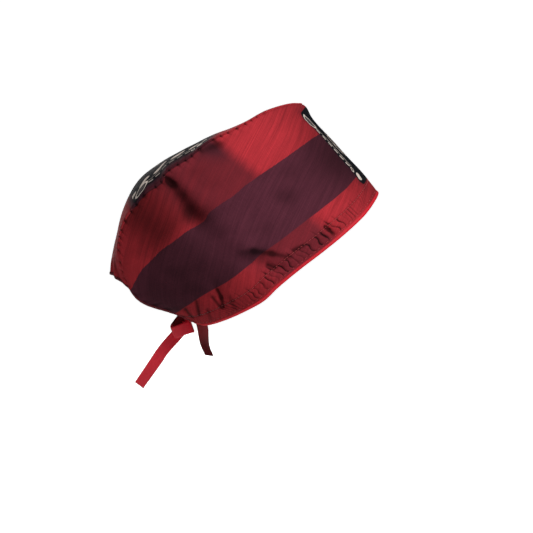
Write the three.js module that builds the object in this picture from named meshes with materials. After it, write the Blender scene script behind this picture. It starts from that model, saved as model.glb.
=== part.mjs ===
/**
 * Tie-back surgical scrub cap, in the form it has on a head that holds it up.
 *
 * Millimetres, +Z up, +X towards the forehead, +Y towards the wearer's left ear.
 * The origin is the middle of the head opening, halfway from forehead to nape.
 * The cap is the same on both sides of the XZ plane, apart from the tails of the bow.
 */
import * as THREE from "three";

// Driving dimensions.
const CLOTH_WALL = 1.2;
const PIECE_GAP = 0.3;
const SEAM_SETBACK = 1.5;
const SEAM_SETBACK_FRONT = 2;
const SETBACK_CHANGE = { from: 0.25, to: 0.1 };
const BINDING_HEIGHT = 3.3;
const BINDING_PROUD = 0.6;
const CHANNEL_GAP = 0.8;
const CHANNEL_WALL = 1.0;
const CHANNEL_LOW = 5.6;
const CHANNEL_HIGH = 16.4;
const CHANNEL_FRONT = 0.12;
const CHANNEL_REAR = 0.93;
const TAPE_WIDTH = 12;
const TAPE_WALL = 1.2;
const KNOT_CENTRE = { x: -103, y: 0, z: -55.5 };
const KNOT_HALF = { x: 6.5, y: 6, z: 6 };

// How round the sections are, and how the end of the band hangs.
const CROWN_ROUNDNESS = 2.2;
const SWELL_LOWNESS = 0.25;
const REAR_DROOP = 6.5;
const REAR_DROOP_FROM = 0.72;
const REAR_DROOP_PEAK = 9.48;
const REAR_DROOP_WAY = { x: -0.47, z: -0.88 };
const FOLDS_FADE_AT_HEM = 0.06;
const FOLDS_FADE_AT_SEAM = 0.93;
const FOLDS_START = { from: 0.08, to: 0.2 };
const GATHER_DEPTH = 2.2;
const GATHER_COUNT = 5;
const GATHER_FROM = 0.86;
const GATHER_SHARE = 0.5;
const TANGENT_STEP = 0.01;

// Grid steps of the shells.
const BAND_STEPS = 82;
const BAND_RISES = 14;
const CROWN_STEPS = 28;
const CROWN_ACROSS = 16;
const CROWN_FRONT_SHARE = 0.04;
const RIM_STEPS = 12;
const CHANNEL_STEPS = 28;

// The hem line from the middle of the forehead to the nape corner: its place, the half width
// of the head opening there, and how far the cloth above it swells out.
const HEM_ROWS = [
  { x: 86, side: 0, z: 66, swell: -0.4 },
  { x: 82.8, side: 30, z: 59.2, swell: 2 },
  { x: 71, side: 53, z: 43, swell: 7 },
  { x: 52, side: 67, z: 25, swell: 10 },
  { x: 29.5, side: 73.5, z: 6.6, swell: 11 },
  { x: 6.5, side: 75, z: -11, swell: 11.5 },
  { x: -14, side: 73, z: -28, swell: 12.5 },
  { x: -27, side: 69.5, z: -40.5, swell: 14 },
  { x: -41, side: 63.5, z: -49, swell: 15 },
  { x: -64, side: 50, z: -59.6, swell: 16 },
  { x: -84.5, side: 31, z: -65.9, swell: 13 },
  { x: -96, side: 13, z: -64.3, swell: 9 },
];

// The seam between crown and band, from the front of the crown to the rear rim, and the
// ridge of the crown above it in the middle of the cap.
const CROWN_ROWS = [
  { x: 10, side: 0, z: 155, ridgeX: 10, ridgeZ: 155.5 },
  { x: -7, side: 29, z: 152.8, ridgeX: -2, ridgeZ: 155.2 },
  { x: -30, side: 44, z: 144, ridgeX: -26, ridgeZ: 148.3 },
  { x: -47, side: 49.5, z: 134, ridgeX: -45, ridgeZ: 138 },
  { x: -62.5, side: 52.5, z: 125.6, ridgeX: -61, ridgeZ: 131.5 },
  { x: -79, side: 54.5, z: 118, ridgeX: -76, ridgeZ: 125.5 },
  { x: -90, side: 55.5, z: 111, ridgeX: -87, ridgeZ: 120.5 },
  { x: -102.6, side: 56, z: 99.5, ridgeX: -97, ridgeZ: 115.3 },
  { x: -113, side: 56, z: 93.5, ridgeX: -108, ridgeZ: 110 },
  { x: -126, side: 55.5, z: 84.5, ridgeX: -124, ridgeZ: 101.7 },
  { x: -130.5, side: 55, z: 75, ridgeX: -136, ridgeZ: 93.5 },
  { x: -145, side: 53, z: 65, ridgeX: -151, ridgeZ: 81 },
  { x: -155, side: 50.5, z: 53.5, ridgeX: -160.5, ridgeZ: 68 },
  { x: -166.5, side: 46.5, z: 37, ridgeX: -170.5, ridgeZ: 45 },
  { x: -172, side: 42.5, z: 17, ridgeX: -177.2, ridgeZ: 19 },
  { x: -171, side: 38.5, z: -2, ridgeX: -180.4, ridgeZ: 0 },
  { x: -161, side: 34, z: -30, ridgeX: -181.6, ridgeZ: -14.3 },
];

// The main folds of the side cloth: a line from one end to the other, how wide the fold is
// to each side of it, and how far it stands out (or, below zero, sinks in).
const FOLD_ROWS = [
  { name: "valley below the seam kink", x0: -129, z0: 78, x1: -95, z1: 38, width: 9, out: -5 },
  { name: "valley into the stripe", x0: -95, z0: 38, x1: -70, z1: 8, width: 13, out: -3 },
  { name: "fullness behind the valley", x0: -138, z0: 40, x1: -120, z1: 15, width: 24, out: 4 },
  { name: "brow over the ear, rear half", x0: -64, z0: -3, x1: -46, z1: 11, width: 6, out: 2.2 },
  { name: "brow over the ear, front half", x0: -46, z0: 11, x1: -6, z1: 2, width: 6, out: 2.2 },
  { name: "tuck under the brow", x0: -50, z0: -2, x1: -14, z1: -8, width: 7, out: -2 },
  { name: "tuck above the nape", x0: -76, z0: -26, x1: -68, z1: -46, width: 5, out: -2 },
  { name: "tuck at the nape corner", x0: -97, z0: -41, x1: -94, z1: -57, width: 5, out: -1.6 },
  { name: "tuck in front of the ear", x0: 25, z0: 37, x1: 40, z1: 23, width: 5, out: -1.8 },
];

// The tapes of the bow: the line of the tape's middle and the way across its width.
const LONG_TAIL_ROWS = [
  { x: -105, y: -0.8, z: -63, acrossX: 0.8, acrossY: 0.1, acrossZ: -0.6 },
  { x: -115.5, y: -4.5, z: -75.5, acrossX: 0.77, acrossY: 0.1, acrossZ: -0.64 },
  { x: -128.5, y: -8, z: -90.3, acrossX: 0.6, acrossY: 0.1, acrossZ: -0.8 },
  { x: -137, y: -10, z: -102.8, acrossX: 0.82, acrossY: 0.3, acrossZ: -0.5 },
  { x: -152.9, y: -12, z: -125.8, acrossX: 0.66, acrossY: 0.5, acrossZ: -0.52 },
];
const SHORT_TAIL_ROWS = [
  { x: -96.5, y: 2, z: -64, acrossX: 0.85, acrossY: 0.3, acrossZ: -0.45 },
  { x: -91.5, y: 3, z: -66.5, acrossX: 0.93, acrossY: 0.3, acrossZ: -0.3 },
  { x: -87.5, y: 5, z: -85.5, acrossX: 0.75, acrossY: 0.6, acrossZ: -0.25 },
  { x: -83.5, y: 6, z: -96.5, acrossX: 0.68, acrossY: 0.7, acrossZ: -0.1 },
];
const LOOP_ROWS = [
  { x: -109.5, y: -3.5, z: -58, acrossX: 0.43, acrossY: 0, acrossZ: -0.9 },
  { x: -114, y: -7, z: -64, acrossX: 0.43, acrossY: 0, acrossZ: -0.9 },
  { x: -119, y: -11.5, z: -71, acrossX: 0.4, acrossY: 0, acrossZ: -0.9 },
  { x: -118.5, y: -17.5, z: -73.5, acrossX: 0.38, acrossY: 0, acrossZ: -0.92 },
  { x: -110.5, y: -21, z: -70.5, acrossX: 0.4, acrossY: 0, acrossZ: -0.9 },
  { x: -102.5, y: -19, z: -68, acrossX: 0.43, acrossY: 0, acrossZ: -0.9 },
  { x: -100.8, y: -13.5, z: -69.5, acrossX: 0.43, acrossY: 0, acrossZ: -0.9 },
  { x: -103.5, y: -8.5, z: -69, acrossX: 0.5, acrossY: 0, acrossZ: -0.86 },
  { x: -106.5, y: -5.2, z: -67, acrossX: 0.6, acrossY: 0, acrossZ: -0.8 },
];
const LEAD_ROWS = [
  { x: -99.2, y: -12.2, z: -58.6, acrossX: 0.45, acrossY: 0, acrossZ: -0.9 },
  { x: -101.5, y: -7.6, z: -57.2, acrossX: 0.45, acrossY: 0, acrossZ: -0.9 },
];
const LEAD_WIDTH = 8;

/** Length of the line through the rows of a table, up to each row. */
function rowLengths(rows) {
  const lengths = [0];
  for (let i = 1; i < rows.length; i += 1) {
    const a = rows[i - 1];
    const b = rows[i];
    const step = Math.hypot(b.x - a.x, (b.side ?? b.y) - (a.side ?? a.y), b.z - a.z);
    lengths.push(lengths[i - 1] + step);
  }
  return lengths;
}

/** Share of the line's length at which each row stands, from 0 at the first to 1 at the last. */
function rowShares(rows) {
  const lengths = rowLengths(rows);
  return lengths.map((length) => length / lengths.at(-1));
}

/**
 * A smooth curve through one column of a table, at a share of the table's length.
 * mirror is 1 for a column that is the same on the cap's other side, -1 for one that changes
 * sign there, and 0 where the table doesn't start in the middle of the cap.
 */
function smooth(rows, shares, column, share, mirror = 0) {
  const last = rows.length - 1;
  const value = (i) => rows[i][column];
  const slope = (i) => {
    if (i === 0 && mirror === 1) return 0;
    if (i === 0 && mirror === -1) return value(1) / shares[1];
    const before = Math.max(i - 1, 0);
    const after = Math.min(i + 1, last);
    return (value(after) - value(before)) / (shares[after] - shares[before]);
  };
  let i = 0;
  while (i < last - 1 && share > shares[i + 1]) i += 1;
  const width = shares[i + 1] - shares[i];
  const k = (share - shares[i]) / width;
  const [k2, k3] = [k * k, k * k * k];
  return (
    value(i) * (2 * k3 - 3 * k2 + 1) +
    slope(i) * width * (k3 - 2 * k2 + k) +
    value(i + 1) * (3 * k2 - 2 * k3) +
    slope(i + 1) * width * (k3 - k2)
  );
}

/** 0 up to the first edge, 1 from the second one, and a soft ramp between them. */
function ramp(from, to, value) {
  const k = Math.min(Math.max((value - from) / (to - from), 0), 1);
  return k * k * (3 - 2 * k);
}

const HEM_SHARES = rowShares(HEM_ROWS);
const CROWN_SHARES = rowShares(CROWN_ROWS);

/** The hem line at a share of its length: 0 at the forehead, 1 at the left nape corner. */
function hemPoint(share) {
  const at = (column, mirror) => smooth(HEM_ROWS, HEM_SHARES, column, share, mirror);
  return new THREE.Vector3(at("x", 1), at("side", -1), at("z", 1));
}

/** The crown seam at a share of its length: 0 at the front, 1 at the left rear rim. */
function seamPoint(share) {
  const at = (column, mirror) => smooth(CROWN_ROWS, CROWN_SHARES, column, share, mirror);
  return new THREE.Vector3(at("x", 1), at("side", -1), at("z", 1));
}

/** How far the folds of the side cloth stand out at a place seen from the side. */
function foldRelief(x, z) {
  return FOLD_ROWS.reduce((sum, fold) => {
    const [dx, dz] = [fold.x1 - fold.x0, fold.z1 - fold.z0];
    const along = ((x - fold.x0) * dx + (z - fold.z0) * dz) / (dx * dx + dz * dz);
    const nearest = Math.min(Math.max(along, 0), 1);
    const off = Math.hypot(x - fold.x0 - nearest * dx, z - fold.z0 - nearest * dz);
    return sum + fold.out * Math.exp(-((off / fold.width) ** 2));
  }, 0);
}

/** Length of the straight line from hem to seam at a share of the band. */
function bandHeight(share) {
  return hemPoint(Math.abs(share)).distanceTo(seamPoint(Math.abs(share)));
}

/**
 * Outer face of the side band. share runs from -1 at the right nape corner over 0 at the
 * forehead to 1 at the left one, and rise from 0 at the hem to 1 at the crown seam.
 * The face is the straight line from hem to seam, swelled outwards, plus the folds.
 */
function bandPoint(share, rise) {
  const k = Math.abs(share);
  const hem = hemPoint(k);
  const seam = seamPoint(k);
  const back = Math.max(k - TANGENT_STEP, 0);
  const ahead = Math.min(k + TANGENT_STEP, 1);
  const middle = (at) => hemPoint(at).add(seamPoint(at));
  const tangent = middle(ahead).sub(middle(back));
  if (k < TANGENT_STEP) tangent.set(0, 1, 0);
  const out = tangent.cross(seam.clone().sub(hem)).normalize();
  out.lerp(new THREE.Vector3(0, 1, 0), ramp(REAR_DROOP_FROM, 1, k)).normalize();
  const swell = smooth(HEM_ROWS, HEM_SHARES, "swell", k, 1);
  const shape = 4 * rise * (1 - rise) * (1 + SWELL_LOWNESS * (1 - 2 * rise));
  const point = hem.lerp(seam, rise).addScaledVector(out, swell * shape);
  const hang = REAR_DROOP_PEAK * rise ** 3 * (1 - rise);
  const droop = REAR_DROOP * ramp(REAR_DROOP_FROM, 1, k) * hang;
  point.x += REAR_DROOP_WAY.x * droop;
  point.z += REAR_DROOP_WAY.z * droop;
  const edgeFade = ramp(0, FOLDS_FADE_AT_HEM, rise) * ramp(1, FOLDS_FADE_AT_SEAM, rise);
  const sideFade = ramp(FOLDS_START.from, FOLDS_START.to, k);
  point.y += foldRelief(point.x, point.z) * edgeFade * sideFade;
  if (share < 0) point.y = -point.y;
  return point;
}

/**
 * Outer face of the crown. share runs from 0 at its front to 1 at the rear rim, and across
 * from -1 at the right seam to 1 at the left one. A section is an arch from seam to seam,
 * and near the rear rim it is drawn into gathers.
 */
function crownPoint(share, across) {
  const at = (column, mirror) => smooth(CROWN_ROWS, CROWN_SHARES, column, share, mirror);
  const arch = 1 - Math.abs(across) ** CROWN_ROUNDNESS;
  const [seamX, seamZ] = [at("x", 1), at("z", 1)];
  const drawn = GATHER_DEPTH * GATHER_SHARE * ramp(GATHER_FROM, 1, share) * (1 - across ** 4);
  return new THREE.Vector3(
    seamX + (at("ridgeX", 1) - seamX) * arch + Math.cos(across * GATHER_COUNT * Math.PI) * drawn,
    at("side", -1) * across,
    seamZ + (at("ridgeZ", 1) - seamZ) * arch,
  );
}

/** A grid of points: rows upwards, and in each row the places along it. */
function makeGrid(alongSteps, upSteps, pointAt) {
  return Array.from({ length: upSteps + 1 }, (_, v) =>
    Array.from({ length: alongSteps + 1 }, (_, u) => pointAt(u / alongSteps, v / upSteps)),
  );
}

/** The outward direction at each point of a grid: along the row, crossed with up the rows. */
function gridNormals(grid) {
  const [top, end] = [grid.length - 1, grid[0].length - 1];
  return grid.map((row, v) =>
    row.map((_, u) => {
      const along = row[Math.min(u + 1, end)].clone().sub(row[Math.max(u - 1, 0)]);
      const up = grid[Math.min(v + 1, top)][u].clone().sub(grid[Math.max(v - 1, 0)][u]);
      return along.cross(up).normalize();
    }),
  );
}

/** A closed wall round a grid: its outer face stands raise outside the grid, its inner sink inside. */
function wallGeometry(grid, raise, sink) {
  const normals = gridNormals(grid);
  const [rows, columns] = [grid.length, grid[0].length];
  const layer = (offset) =>
    grid.flatMap((row, v) =>
      row.flatMap((point, u) => point.clone().addScaledVector(normals[v][u], offset).toArray()),
    );
  const outer = (v, u) => v * columns + u;
  const inner = (v, u) => rows * columns + outer(v, u);
  const indices = [];
  const quad = (a, b, c, d) => indices.push(a, b, c, a, c, d);
  for (let v = 0; v < rows - 1; v += 1) {
    for (let u = 0; u < columns - 1; u += 1) {
      quad(outer(v, u), outer(v, u + 1), outer(v + 1, u + 1), outer(v + 1, u));
      quad(inner(v + 1, u), inner(v + 1, u + 1), inner(v, u + 1), inner(v, u));
    }
    quad(outer(v, 0), outer(v + 1, 0), inner(v + 1, 0), inner(v, 0));
    const end = columns - 1;
    quad(inner(v, end), inner(v + 1, end), outer(v + 1, end), outer(v, end));
  }
  for (let u = 0; u < columns - 1; u += 1) {
    quad(inner(0, u), inner(0, u + 1), outer(0, u + 1), outer(0, u));
    const top = rows - 1;
    quad(outer(top, u), outer(top, u + 1), inner(top, u + 1), inner(top, u));
  }
  const geometry = new THREE.BufferGeometry();
  const places = new Float32Array([...layer(raise), ...layer(-sink)]);
  geometry.setAttribute("position", new THREE.BufferAttribute(places, 3));
  geometry.setIndex(indices);
  geometry.computeVertexNormals();
  return geometry;
}

// Where the rear binding and the ends of the cloth lie, as shares of the crown seam.
const SEAM_LENGTH = rowLengths(CROWN_ROWS).at(-1);
const RIM_SHARE = BINDING_HEIGHT / SEAM_LENGTH;
const CLOTH_END_SHARE = 1 - (BINDING_HEIGHT + 2 * PIECE_GAP) / SEAM_LENGTH;

/** The U-shaped front and side panel, from one rear rim round the forehead to the other. */
function sideBandGeometry() {
  const grid = makeGrid(BAND_STEPS, BAND_RISES, (u, v) => {
    const share = (2 * u - 1) * CLOTH_END_SHARE;
    const low = (BINDING_HEIGHT + PIECE_GAP) / bandHeight(share);
    return bandPoint(share, low + (1 - low) * v);
  });
  return wallGeometry(grid, 0, CLOTH_WALL);
}

/** The long top and back panel between the two side seams. */
function crownGeometry() {
  const grid = makeGrid(CROWN_ACROSS, CROWN_STEPS, (u, v) => {
    const share = CROWN_FRONT_SHARE + (CLOTH_END_SHARE - CROWN_FRONT_SHARE) * v;
    const seam = seamPoint(share);
    const course = seamPoint(share + TANGENT_STEP).sub(seam).normalize();
    const front = ramp(SETBACK_CHANGE.from, SETBACK_CHANGE.to, share);
    const setback =
      (SEAM_SETBACK + (SEAM_SETBACK_FRONT - SEAM_SETBACK) * front) / Math.hypot(course.x, course.z);
    return crownPoint(share, (2 * u - 1) * (1 - setback / seam.y));
  });
  return wallGeometry(grid, 0, CLOTH_WALL);
}

/** The binding folded over the hem, from nape corner to nape corner round the forehead. */
function hemBindingGeometry() {
  const grid = makeGrid(BAND_STEPS, 1, (u, v) => {
    const share = 2 * u - 1;
    return bandPoint(share, (v * BINDING_HEIGHT) / bandHeight(share));
  });
  return wallGeometry(grid, BINDING_PROUD, CLOTH_WALL + BINDING_PROUD);
}

/** The binding of the rear opening: up one side, over the end of the crown, down the other. */
function rearBindingGeometry() {
  const low = (BINDING_HEIGHT + 2 * PIECE_GAP) / bandHeight(1);
  const rim = [];
  for (let i = 0; i < RIM_STEPS; i += 1) {
    const rise = low + ((1 - low) * i) / RIM_STEPS;
    rim.push((inset) => bandPoint(-(1 - inset), rise));
  }
  for (let i = 0; i <= RIM_STEPS; i += 1) {
    rim.push((inset) => crownPoint(1 - inset, (2 * i) / RIM_STEPS - 1));
  }
  for (let i = RIM_STEPS - 1; i >= 0; i -= 1) {
    const rise = low + ((1 - low) * i) / RIM_STEPS;
    rim.push((inset) => bandPoint(1 - inset, rise));
  }
  const grid = [rim.map((at) => at(RIM_SHARE)), rim.map((at) => at(0))];
  return wallGeometry(grid, BINDING_PROUD, CLOTH_WALL + BINDING_PROUD);
}

/** The channel strip for the elastic, flat against the inside of the band on one side. */
function channelGeometry(side) {
  const grid = makeGrid(CHANNEL_STEPS, 2, (u, v) => {
    const along = side < 0 ? 1 - u : u;
    const share = side * (CHANNEL_FRONT + (CHANNEL_REAR - CHANNEL_FRONT) * along);
    const height = CHANNEL_LOW + (CHANNEL_HIGH - CHANNEL_LOW) * v;
    return bandPoint(share, height / bandHeight(share));
  });
  const depth = CLOTH_WALL + CHANNEL_GAP;
  return wallGeometry(grid, -depth, depth + CHANNEL_WALL);
}

/** A flat tape along a table of places, mirrored to the left side where mirror is -1. */
function tapeGeometry(rows, steps, width = TAPE_WIDTH, mirror = 1) {
  const shares = rowShares(rows);
  const grid = makeGrid(steps, 2, (u, v) => {
    const at = (column) => smooth(rows, shares, column, u);
    const across = new THREE.Vector3(at("acrossX"), at("acrossY"), at("acrossZ")).normalize();
    const point = new THREE.Vector3(at("x"), at("y"), at("z"));
    point.addScaledVector(across, (v - 0.5) * width * mirror);
    point.y *= mirror;
    return point;
  });
  return wallGeometry(grid, TAPE_WALL / 2, TAPE_WALL / 2);
}

/** The knot that holds both ties at the nape: a rounded lump. */
function knotGeometry() {
  const geometry = new THREE.SphereGeometry(1, 14, 9);
  geometry.scale(KNOT_HALF.x, KNOT_HALF.y, KNOT_HALF.z);
  return geometry;
}

/** Cloth of one colour. */
function cloth(colour) {
  return new THREE.MeshStandardMaterial({ color: colour, roughness: 0.9, metalness: 0 });
}

/** A named piece of the cap. */
function piece(name, geometry, material) {
  const mesh = new THREE.Mesh(geometry, material);
  mesh.name = name;
  return mesh;
}

const cap = new THREE.Group();
cap.add(piece("side_band", sideBandGeometry(), cloth(0x7d252d)));
cap.add(piece("crown", crownGeometry(), cloth(0x8c2a31)));
cap.add(piece("hem_binding", hemBindingGeometry(), cloth(0xb51c2a)));
cap.add(piece("rear_binding", rearBindingGeometry(), cloth(0xb51c2a)));
cap.add(piece("elastic_channel_right", channelGeometry(-1), cloth(0x7d252d)));
cap.add(piece("elastic_channel_left", channelGeometry(1), cloth(0x7d252d)));
cap.add(piece("tie_lead_right", tapeGeometry(LEAD_ROWS, 3, LEAD_WIDTH), cloth(0xa82230)));
cap.add(piece("tie_lead_left", tapeGeometry(LEAD_ROWS, 3, LEAD_WIDTH, -1), cloth(0xa82230)));
cap.add(piece("bow_loop_right", tapeGeometry(LOOP_ROWS, 26), cloth(0xa82230)));
cap.add(piece("bow_loop_left", tapeGeometry(LOOP_ROWS, 26, TAPE_WIDTH, -1), cloth(0xa82230)));
cap.add(piece("tie_tail_long", tapeGeometry(LONG_TAIL_ROWS, 14), cloth(0xa82230)));
cap.add(piece("tie_tail_short", tapeGeometry(SHORT_TAIL_ROWS, 9), cloth(0x8c1c28)));

const knot = piece("tie_knot", knotGeometry(), cloth(0xa82230));
knot.position.set(KNOT_CENTRE.x, KNOT_CENTRE.y, KNOT_CENTRE.z);
cap.add(knot);

export default cap;
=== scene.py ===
"""Tie-back surgical scrub cap: printed cloth, stitching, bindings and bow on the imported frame.

The cap keeps the form it has on a head. Shapes are worked out in millimetres in the frame of
the part: +Z up, +X towards the forehead, +Y towards the wearer's left ear.
"""

import logging
import math
from dataclasses import dataclass, field
from enum import Enum
from functools import cached_property
from typing import Optional, Sequence, Union

import bpy
import numpy as np
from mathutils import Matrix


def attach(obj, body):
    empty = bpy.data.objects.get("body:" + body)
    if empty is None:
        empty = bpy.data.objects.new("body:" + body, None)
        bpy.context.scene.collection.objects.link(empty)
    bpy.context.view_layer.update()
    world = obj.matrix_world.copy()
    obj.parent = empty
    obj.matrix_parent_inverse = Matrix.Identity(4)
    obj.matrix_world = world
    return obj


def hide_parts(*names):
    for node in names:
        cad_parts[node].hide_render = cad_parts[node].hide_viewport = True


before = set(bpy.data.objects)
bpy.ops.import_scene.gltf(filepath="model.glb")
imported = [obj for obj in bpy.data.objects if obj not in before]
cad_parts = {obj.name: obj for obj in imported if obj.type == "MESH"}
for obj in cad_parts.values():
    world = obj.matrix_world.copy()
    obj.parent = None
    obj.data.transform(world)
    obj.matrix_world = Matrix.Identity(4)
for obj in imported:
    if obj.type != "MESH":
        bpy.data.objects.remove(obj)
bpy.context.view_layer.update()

LOG = logging.getLogger("scrub_cap")
METRES = 0.001
BODY = "root"
FORWARD_STEP = 0.002

Array = np.ndarray
Socket = bpy.types.NodeSocket
Value = Union[float, Sequence[float], Socket]


class Slot(Enum):
    """The finishes that the record names."""

    BAND = "band_cloth"
    CROWN = "crown_cloth"
    BINDING = "binding_tape"
    CHANNEL = "channel_cloth"
    TIE = "tie_tape"


class Held(Enum):
    """How a sheet of cloth is held."""

    STRETCHED = "stretched"
    GATHERED = "gathered"
    FOLDED = "folded"
    HUNG = "hung"


class Side(Enum):
    """The wearer's sides, as the sign of Y."""

    RIGHT = -1
    LEFT = 1


# ---------------------------------------------------------------- tables of the cap's form

# The hem from the middle of the forehead to the nape corner: x, half width, z, and how far
# the cloth above it swells out.
HEM_ROWS = (
    (86, 0, 66, -0.4),
    (82.8, 30, 59.2, 2),
    (71, 53, 43, 7),
    (52, 67, 25, 10),
    (29.5, 73.5, 6.6, 11),
    (6.5, 75, -11, 11.5),
    (-14, 73, -28, 12.5),
    (-27, 69.5, -40.5, 14),
    (-41, 63.5, -49, 15),
    (-64, 50, -59.6, 16),
    (-84.5, 31, -65.9, 13),
    (-96, 13, -64.3, 9),
)

# The seam between crown and band from the front to the rear rim: x, half width, z, and the
# ridge of the crown above it: x, z.
CROWN_ROWS = (
    (10, 0, 155, 10, 155.5),
    (-7, 29, 152.8, -2, 155.2),
    (-30, 44, 144, -26, 148.3),
    (-47, 49.5, 134, -45, 138),
    (-62.5, 52.5, 125.6, -61, 131.5),
    (-79, 54.5, 118, -76, 125.5),
    (-90, 55.5, 111, -87, 120.5),
    (-102.6, 56, 99.5, -97, 115.3),
    (-113, 56, 93.5, -108, 110),
    (-126, 55.5, 84.5, -124, 101.7),
    (-130.5, 55, 75, -136, 93.5),
    (-145, 53, 65, -151, 81),
    (-155, 50.5, 53.5, -160.5, 68),
    (-166.5, 46.5, 37, -170.5, 45),
    (-172, 42.5, 17, -177.2, 19),
    (-171, 38.5, -2, -180.4, 0),
    (-161, 34, -30, -181.6, -14.3),
)

# The main folds of the side cloth, seen from the side: x and z of both ends, half width, and
# how far the fold stands out or, below zero, sinks in.
MAIN_FOLDS = (
    (-129, 78, -95, 38, 9, -5),
    (-95, 38, -70, 8, 13, -3),
    (-138, 40, -120, 15, 24, 4),
    (-64, -3, -46, 11, 9, 1.3),
    (-46, 11, -6, 2, 8, 1.6),
    (-50, -2, -14, -8, 7, -2),
    (-76, -26, -68, -46, 5, -2),
    (-97, -41, -94, -57, 5, -1.6),
    (25, 37, 40, 23, 5, -1.8),
)

# Narrow creases on top of the main folds, in the same columns.
FINE_FOLDS = (
    (-130, 79, -117, 72, 3.6, -0.8),
    (-117, 72, -108, 62, 5.5, -0.35),
    (-108, 62, -103, 50, 7.0, -0.3),
    (-103, 50, -94, 30, 9.0, -0.3),
    (-124, 62, -116, 44, 6.5, 0.3),
    (-147, 52, -139, 40, 5.0, 0.3),
    (-38.8, 7.3, -20.8, 4.7, 3.0, -0.6),
    (-20.8, 4.7, -3.5, 1.3, 3.0, -0.7),
    (-72, 11, -61, 17, 5.0, 0.3),
    (-61, 17, -44, 15, 5.0, 0.3),
    (-52, 5, -38.8, 7.3, 3.8, -0.35),
    (-24.8, -6, -16.8, -9.3, 2.2, -0.9),
    (0.5, 8.7, 9.8, 12.3, 2.4, -0.8),
    (31, 31.5, 35.2, 28.5, 1.6, -1.1),
    (35.2, 28.5, 39.8, 22.7, 1.6, -1.1),
    (26.5, 24, 32.5, 21.3, 1.4, -0.9),
    (-74.5, -29.6, -70.3, -38, 1.8, -1.1),
    (-70.3, -38, -68.5, -47.6, 1.9, -1.0),
    (-79.3, -37.4, -70.9, -48.2, 1.8, -0.8),
    (-94.9, -41.6, -92.5, -54.8, 1.9, -1.0),
    (-106.3, -50, -99.1, -58.4, 1.9, -0.8),
    (-84, -50, -80, -60, 2.4, -0.5),
    (-62, -38, -56, -50, 3.0, -0.6),
    (-92, 110, -72, 112, 6.0, -0.8),
    (-128, 84, -119, 74, 3.0, -0.9),
)

# Edges of the plum stripe: share of the band from forehead to nape corner, and how high the
# lower and the upper edge run there, as shares of the way from hem to seam.
STRIPE_ROWS = (
    (0.00, 0.250, 0.694),
    (0.10, 0.232, 0.666),
    (0.20, 0.219, 0.642),
    (0.30, 0.219, 0.634),
    (0.40, 0.214, 0.620),
    (0.50, 0.216, 0.621),
    (0.60, 0.222, 0.622),
    (0.70, 0.236, 0.648),
    (0.80, 0.264, 0.690),
    (0.90, 0.292, 0.780),
    (0.95, 0.304, 0.856),
    (1.00, 0.316, 0.980),
)

# Gathers of the hem: share of the band, distance between two pleats, and their depth.
PLEAT_ROWS = (
    (0.00, 3.4, 0.05),
    (0.08, 3.2, 0.10),
    (0.16, 3.4, 0.24),
    (0.24, 4.6, 0.55),
    (0.32, 7.2, 0.95),
    (0.44, 7.4, 1.05),
    (0.56, 6.6, 1.00),
    (0.68, 5.4, 0.70),
    (0.78, 3.6, 0.45),
    (0.88, 3.4, 0.40),
    (1.00, 3.8, 0.20),
)

# The tapes of the bow: x, y, z of the tape's middle, and the way across its width.
LONG_TAIL_ROWS = (
    (-105, -0.8, -63, 0.8, 0.1, -0.6),
    (-115.5, -4.5, -75.5, 0.77, 0.1, -0.64),
    (-128.5, -8, -90.3, 0.6, 0.1, -0.8),
    (-137, -10, -102.8, 0.82, 0.3, -0.5),
    (-152.9, -12, -125.8, 0.66, 0.5, -0.52),
)
SHORT_TAIL_ROWS = (
    (-96.5, 2, -61.5, 0.85, 0.3, -0.45),
    (-91, 3, -65, 0.95, 0.3, -0.1),
    (-88, 5, -85.5, 0.75, 0.6, -0.15),
    (-83.5, 6, -96.7, 0.68, 0.7, -0.12),
)
LOOP_ROWS = (
    (-109.5, -3.5, -58, 0.43, 0, -0.9),
    (-114, -7, -64, 0.43, 0, -0.9),
    (-119, -11.5, -71, 0.4, 0, -0.9),
    (-118.5, -17.5, -73.5, 0.38, 0, -0.92),
    (-110.5, -21, -70.5, 0.36, 0, -0.93),
    (-101.6, -19, -67.6, 0.33, 0, -0.94),
    (-100.6, -13.5, -68, 0.35, 0, -0.93),
    (-103.5, -8.5, -67.5, 0.45, 0, -0.88),
    (-106.5, -5.2, -67, 0.6, 0, -0.8),
)
LEAD_ROWS = (
    (-98.4, -13.6, -59.2, 0.45, 0, -0.9),
    (-100.4, -10, -58, 0.45, 0, -0.9),
    (-102.4, -5, -56.8, 0.45, 0, -0.9),
)


# ---------------------------------------------------------------- small pieces of geometry


def ramp(start: float, end: float, value: Array) -> Array:
    """A soft step from 0 at start to 1 at end: k squared times three less two k.

    Args:
        start: Where the step begins.
        end: Where it is done; it may lie below start.
        value: The values to step over.

    Returns:
        The step, from 0 to 1, at each value.
    """
    k = np.clip((value - start) / (end - start), 0.0, 1.0)
    return k * k * (3 - 2 * k)


def unit(vectors: Array) -> Array:
    """The vectors at length 1, along their last axis."""
    lengths = np.linalg.norm(vectors, axis=-1, keepdims=True)
    return vectors / np.maximum(lengths, 1e-9)


def dips(phase: Array, width: Array) -> Array:
    """A row of dips, 1 in each: the bell curve of the phase's distance from a whole turn.

    Args:
        phase: Turns along the row; a dip lies at each whole number.
        width: Half width of a dip, in turns.

    Returns:
        The bell curve, from 0 between dips to 1 in them.
    """
    away = phase - np.round(phase)
    return np.exp(-((away / width) ** 2))


def bell(distance: Array, width: float) -> Array:
    """A bell curve: 1 at no distance, falling off over the width."""
    return np.exp(-((distance / width) ** 2))


def zero_of(values: Array) -> Array:
    """Noughts in the shape of the values."""
    return np.zeros_like(values, float)


def run_of(path: Array) -> Array:
    """Distance along a path of points up to each point: the sum of the steps before it."""
    steps = np.linalg.norm(np.diff(path, axis=0), axis=1)
    return np.append(0.0, np.cumsum(steps))


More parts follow.
